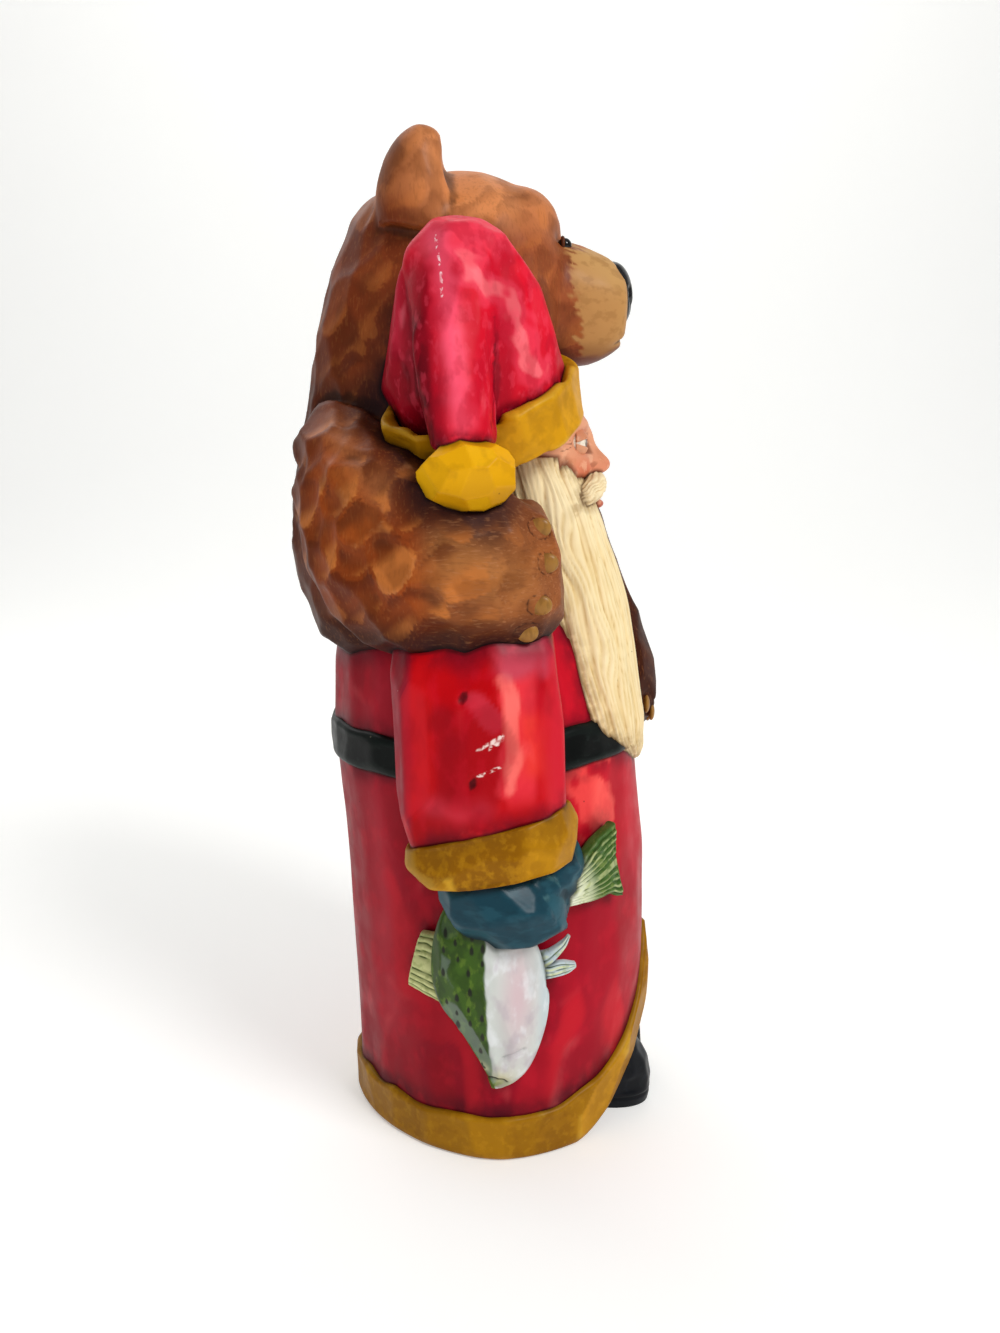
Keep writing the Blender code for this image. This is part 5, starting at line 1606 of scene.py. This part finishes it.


# Every piece is finished here. First, how near its neighbours are, for the dark wash at the joins and the
# painted shade further out
def gapsBetween(reach=12.0):
    trees, boxes = {}, {}
    for name, piece in pieces.items():
        trees[name] = BVHTree.FromPolygons(piece["points"].tolist(), facesOf(piece["quads"]))
        boxes[name] = (piece["points"].min(axis=0) - reach, piece["points"].max(axis=0) + reach)
    for name, piece in pieces.items():
        points = piece["points"]
        gap = np.full(len(points), reach)
        for other, tree in trees.items():
            if other == name or name.startswith(features) or other.startswith(features):
                continue
            near = np.all((points > boxes[other][0]) & (points < boxes[other][1]), axis=1).nonzero()[0]
            for index in near.tolist():
                distance = tree.find_nearest(Vector(points[index]), gap[index])[3]
                if distance is not None:
                    gap[index] = distance
        piece["fields"]["gap"] = gap


# The fields of paint, and what they say where a piece doesn't set them
neutral = {
    "tone": 0.5, "ridge": 0.0, "cavity": 0.0, "worn": 0.0, "gap": 0.0, "ink": 0.0, "chip": 0.0,
    "green": 0.0, "pale": 0.0, "lit": 0.0, "arm": 0.0, "shade": 0.5,
}


# Then its mesh, with every field of paint on its points, its material and its body
def makeObjects():
    looks = {}
    for name, piece in pieces.items():
        data = bpy.data.meshes.new(name)
        data.from_pydata((piece["points"] * mm).tolist(), [], facesOf(piece["quads"]))
        data.polygons.foreach_set("use_smooth", np.ones(len(data.polygons), bool))
        count = len(piece["points"])
        colours = np.hstack([piece["zone"], np.ones((count, 1))]).astype(np.float32)
        data.attributes.new("zone", "FLOAT_COLOR", "POINT").data.foreach_set("color", colours.ravel())
        for field, value in neutral.items():
            values = np.broadcast_to(piece["fields"].get(field, value), (count,)).astype(np.float32)
            data.attributes.new(field, "FLOAT", "POINT").data.foreach_set("value", values)
        label = piece["look"]["name"]
        if label not in looks:
            looks[label] = paintedMaterial(label, piece["look"])
        data.materials.append(looks[label])
        made = bpy.data.objects.new(name, data)
        bpy.context.scene.collection.objects.link(made)
        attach(made, "root")
        if name == "coat":
            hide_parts("santa_and_bear_figurine")
    print("made", len(pieces), "pieces")


gapsBetween()
makeObjects()

# The studio: the camera stands where the photo's stood, level with his head and to his right
studio = {
    "cameraPlace": (-0.3304, 0.0, 0.2048), "cameraDown": 11.1, "lens": 36 * 1080 / 1333, "sensor": 36.0,
    "paper": "#F4F4F2", "paperGlow": 0.30, "paperRough": 0.9,
    "paperSide": 3.0, "sweepFrom": 0.9, "sweepRadius": 0.9, "sweepTop": 3.4,
    "world": "#FFFFFF", "worldStrength": 0.32,
    "lights": (
        # place, target, size, watts
        ((-0.66, -0.62, 0.90), (0.0, 0.0, 0.15), 0.40, 8.0),
        ((-0.9, 0.6, 0.5), (0.0, 0.0, 0.15), 0.9, 0.6),
        ((0.5, 0.5, 0.9), (0.0, 0.0, 0.15), 0.7, 2.0),
        ((1.0, 0.0, 1.9), (2.2, 0.0, 0.9), 1.2, 9.0),
    ),
}


def setStudio():
    scene = bpy.context.scene
    data = bpy.data.cameras.new("camera")
    data.sensor_fit = "VERTICAL"
    data.sensor_height = studio["sensor"]
    data.lens = studio["lens"]
    camera = bpy.data.objects.new("camera", data)
    camera.location = studio["cameraPlace"]
    camera.rotation_euler = (math.radians(90 - studio["cameraDown"]), 0, math.radians(-90))
    scene.collection.objects.link(camera)
    scene.camera = camera
    scene.view_settings.view_transform = "Standard"
    for i, (place, target, size, watts) in enumerate(studio["lights"]):
        lamp = bpy.data.lights.new(f"softbox_{i + 1}", "AREA")
        lamp.shape = "DISK"
        lamp.size = size
        lamp.energy = watts
        light = bpy.data.objects.new(lamp.name, lamp)
        light.location = place
        light.rotation_euler = (Vector(target) - Vector(place)).to_track_quat("-Z", "Y").to_euler()
        scene.collection.objects.link(light)
    world = bpy.data.worlds.new("studio")
    world.use_nodes = True
    background = world.node_tree.nodes["Background"]
    background.inputs["Color"].default_value = (*linear(studio["world"]), 1.0)
    background.inputs["Strength"].default_value = studio["worldStrength"]
    scene.world = world
    side, start, radius = studio["paperSide"], studio["sweepFrom"], studio["sweepRadius"]
    profile = [(-side, 0.0), (start, 0.0)]
    for turn in np.radians(np.arange(6, 90, 6)):
        profile.append((start + radius * math.sin(turn), radius * (1 - math.cos(turn))))
    profile.append((start + radius, studio["sweepTop"]))
    corners = [(x, y, z) for x, z in profile for y in (-side, side)]
    strips = [(2 * i, 2 * i + 1, 2 * i + 3, 2 * i + 2) for i in range(len(profile) - 1)]
    sheet = bpy.data.meshes.new("floor")
    sheet.from_pydata(corners, [], strips)
    sheet.polygons.foreach_set("use_smooth", np.ones(len(strips), bool))
    floor = bpy.data.objects.new("floor", sheet)
    paper = bpy.data.materials.new("studio_paper")
    paper.use_nodes = True
    shader = paper.node_tree.nodes["Principled BSDF"]
    shader.inputs["Base Color"].default_value = (*linear(studio["paper"]), 1.0)
    shader.inputs["Roughness"].default_value = studio["paperRough"]
    shader.inputs["Emission Color"].default_value = (*linear(studio["paper"]), 1.0)
    shader.inputs["Emission Strength"].default_value = studio["paperGlow"]
    sheet.materials.append(paper)
    scene.collection.objects.link(floor)


setStudio()
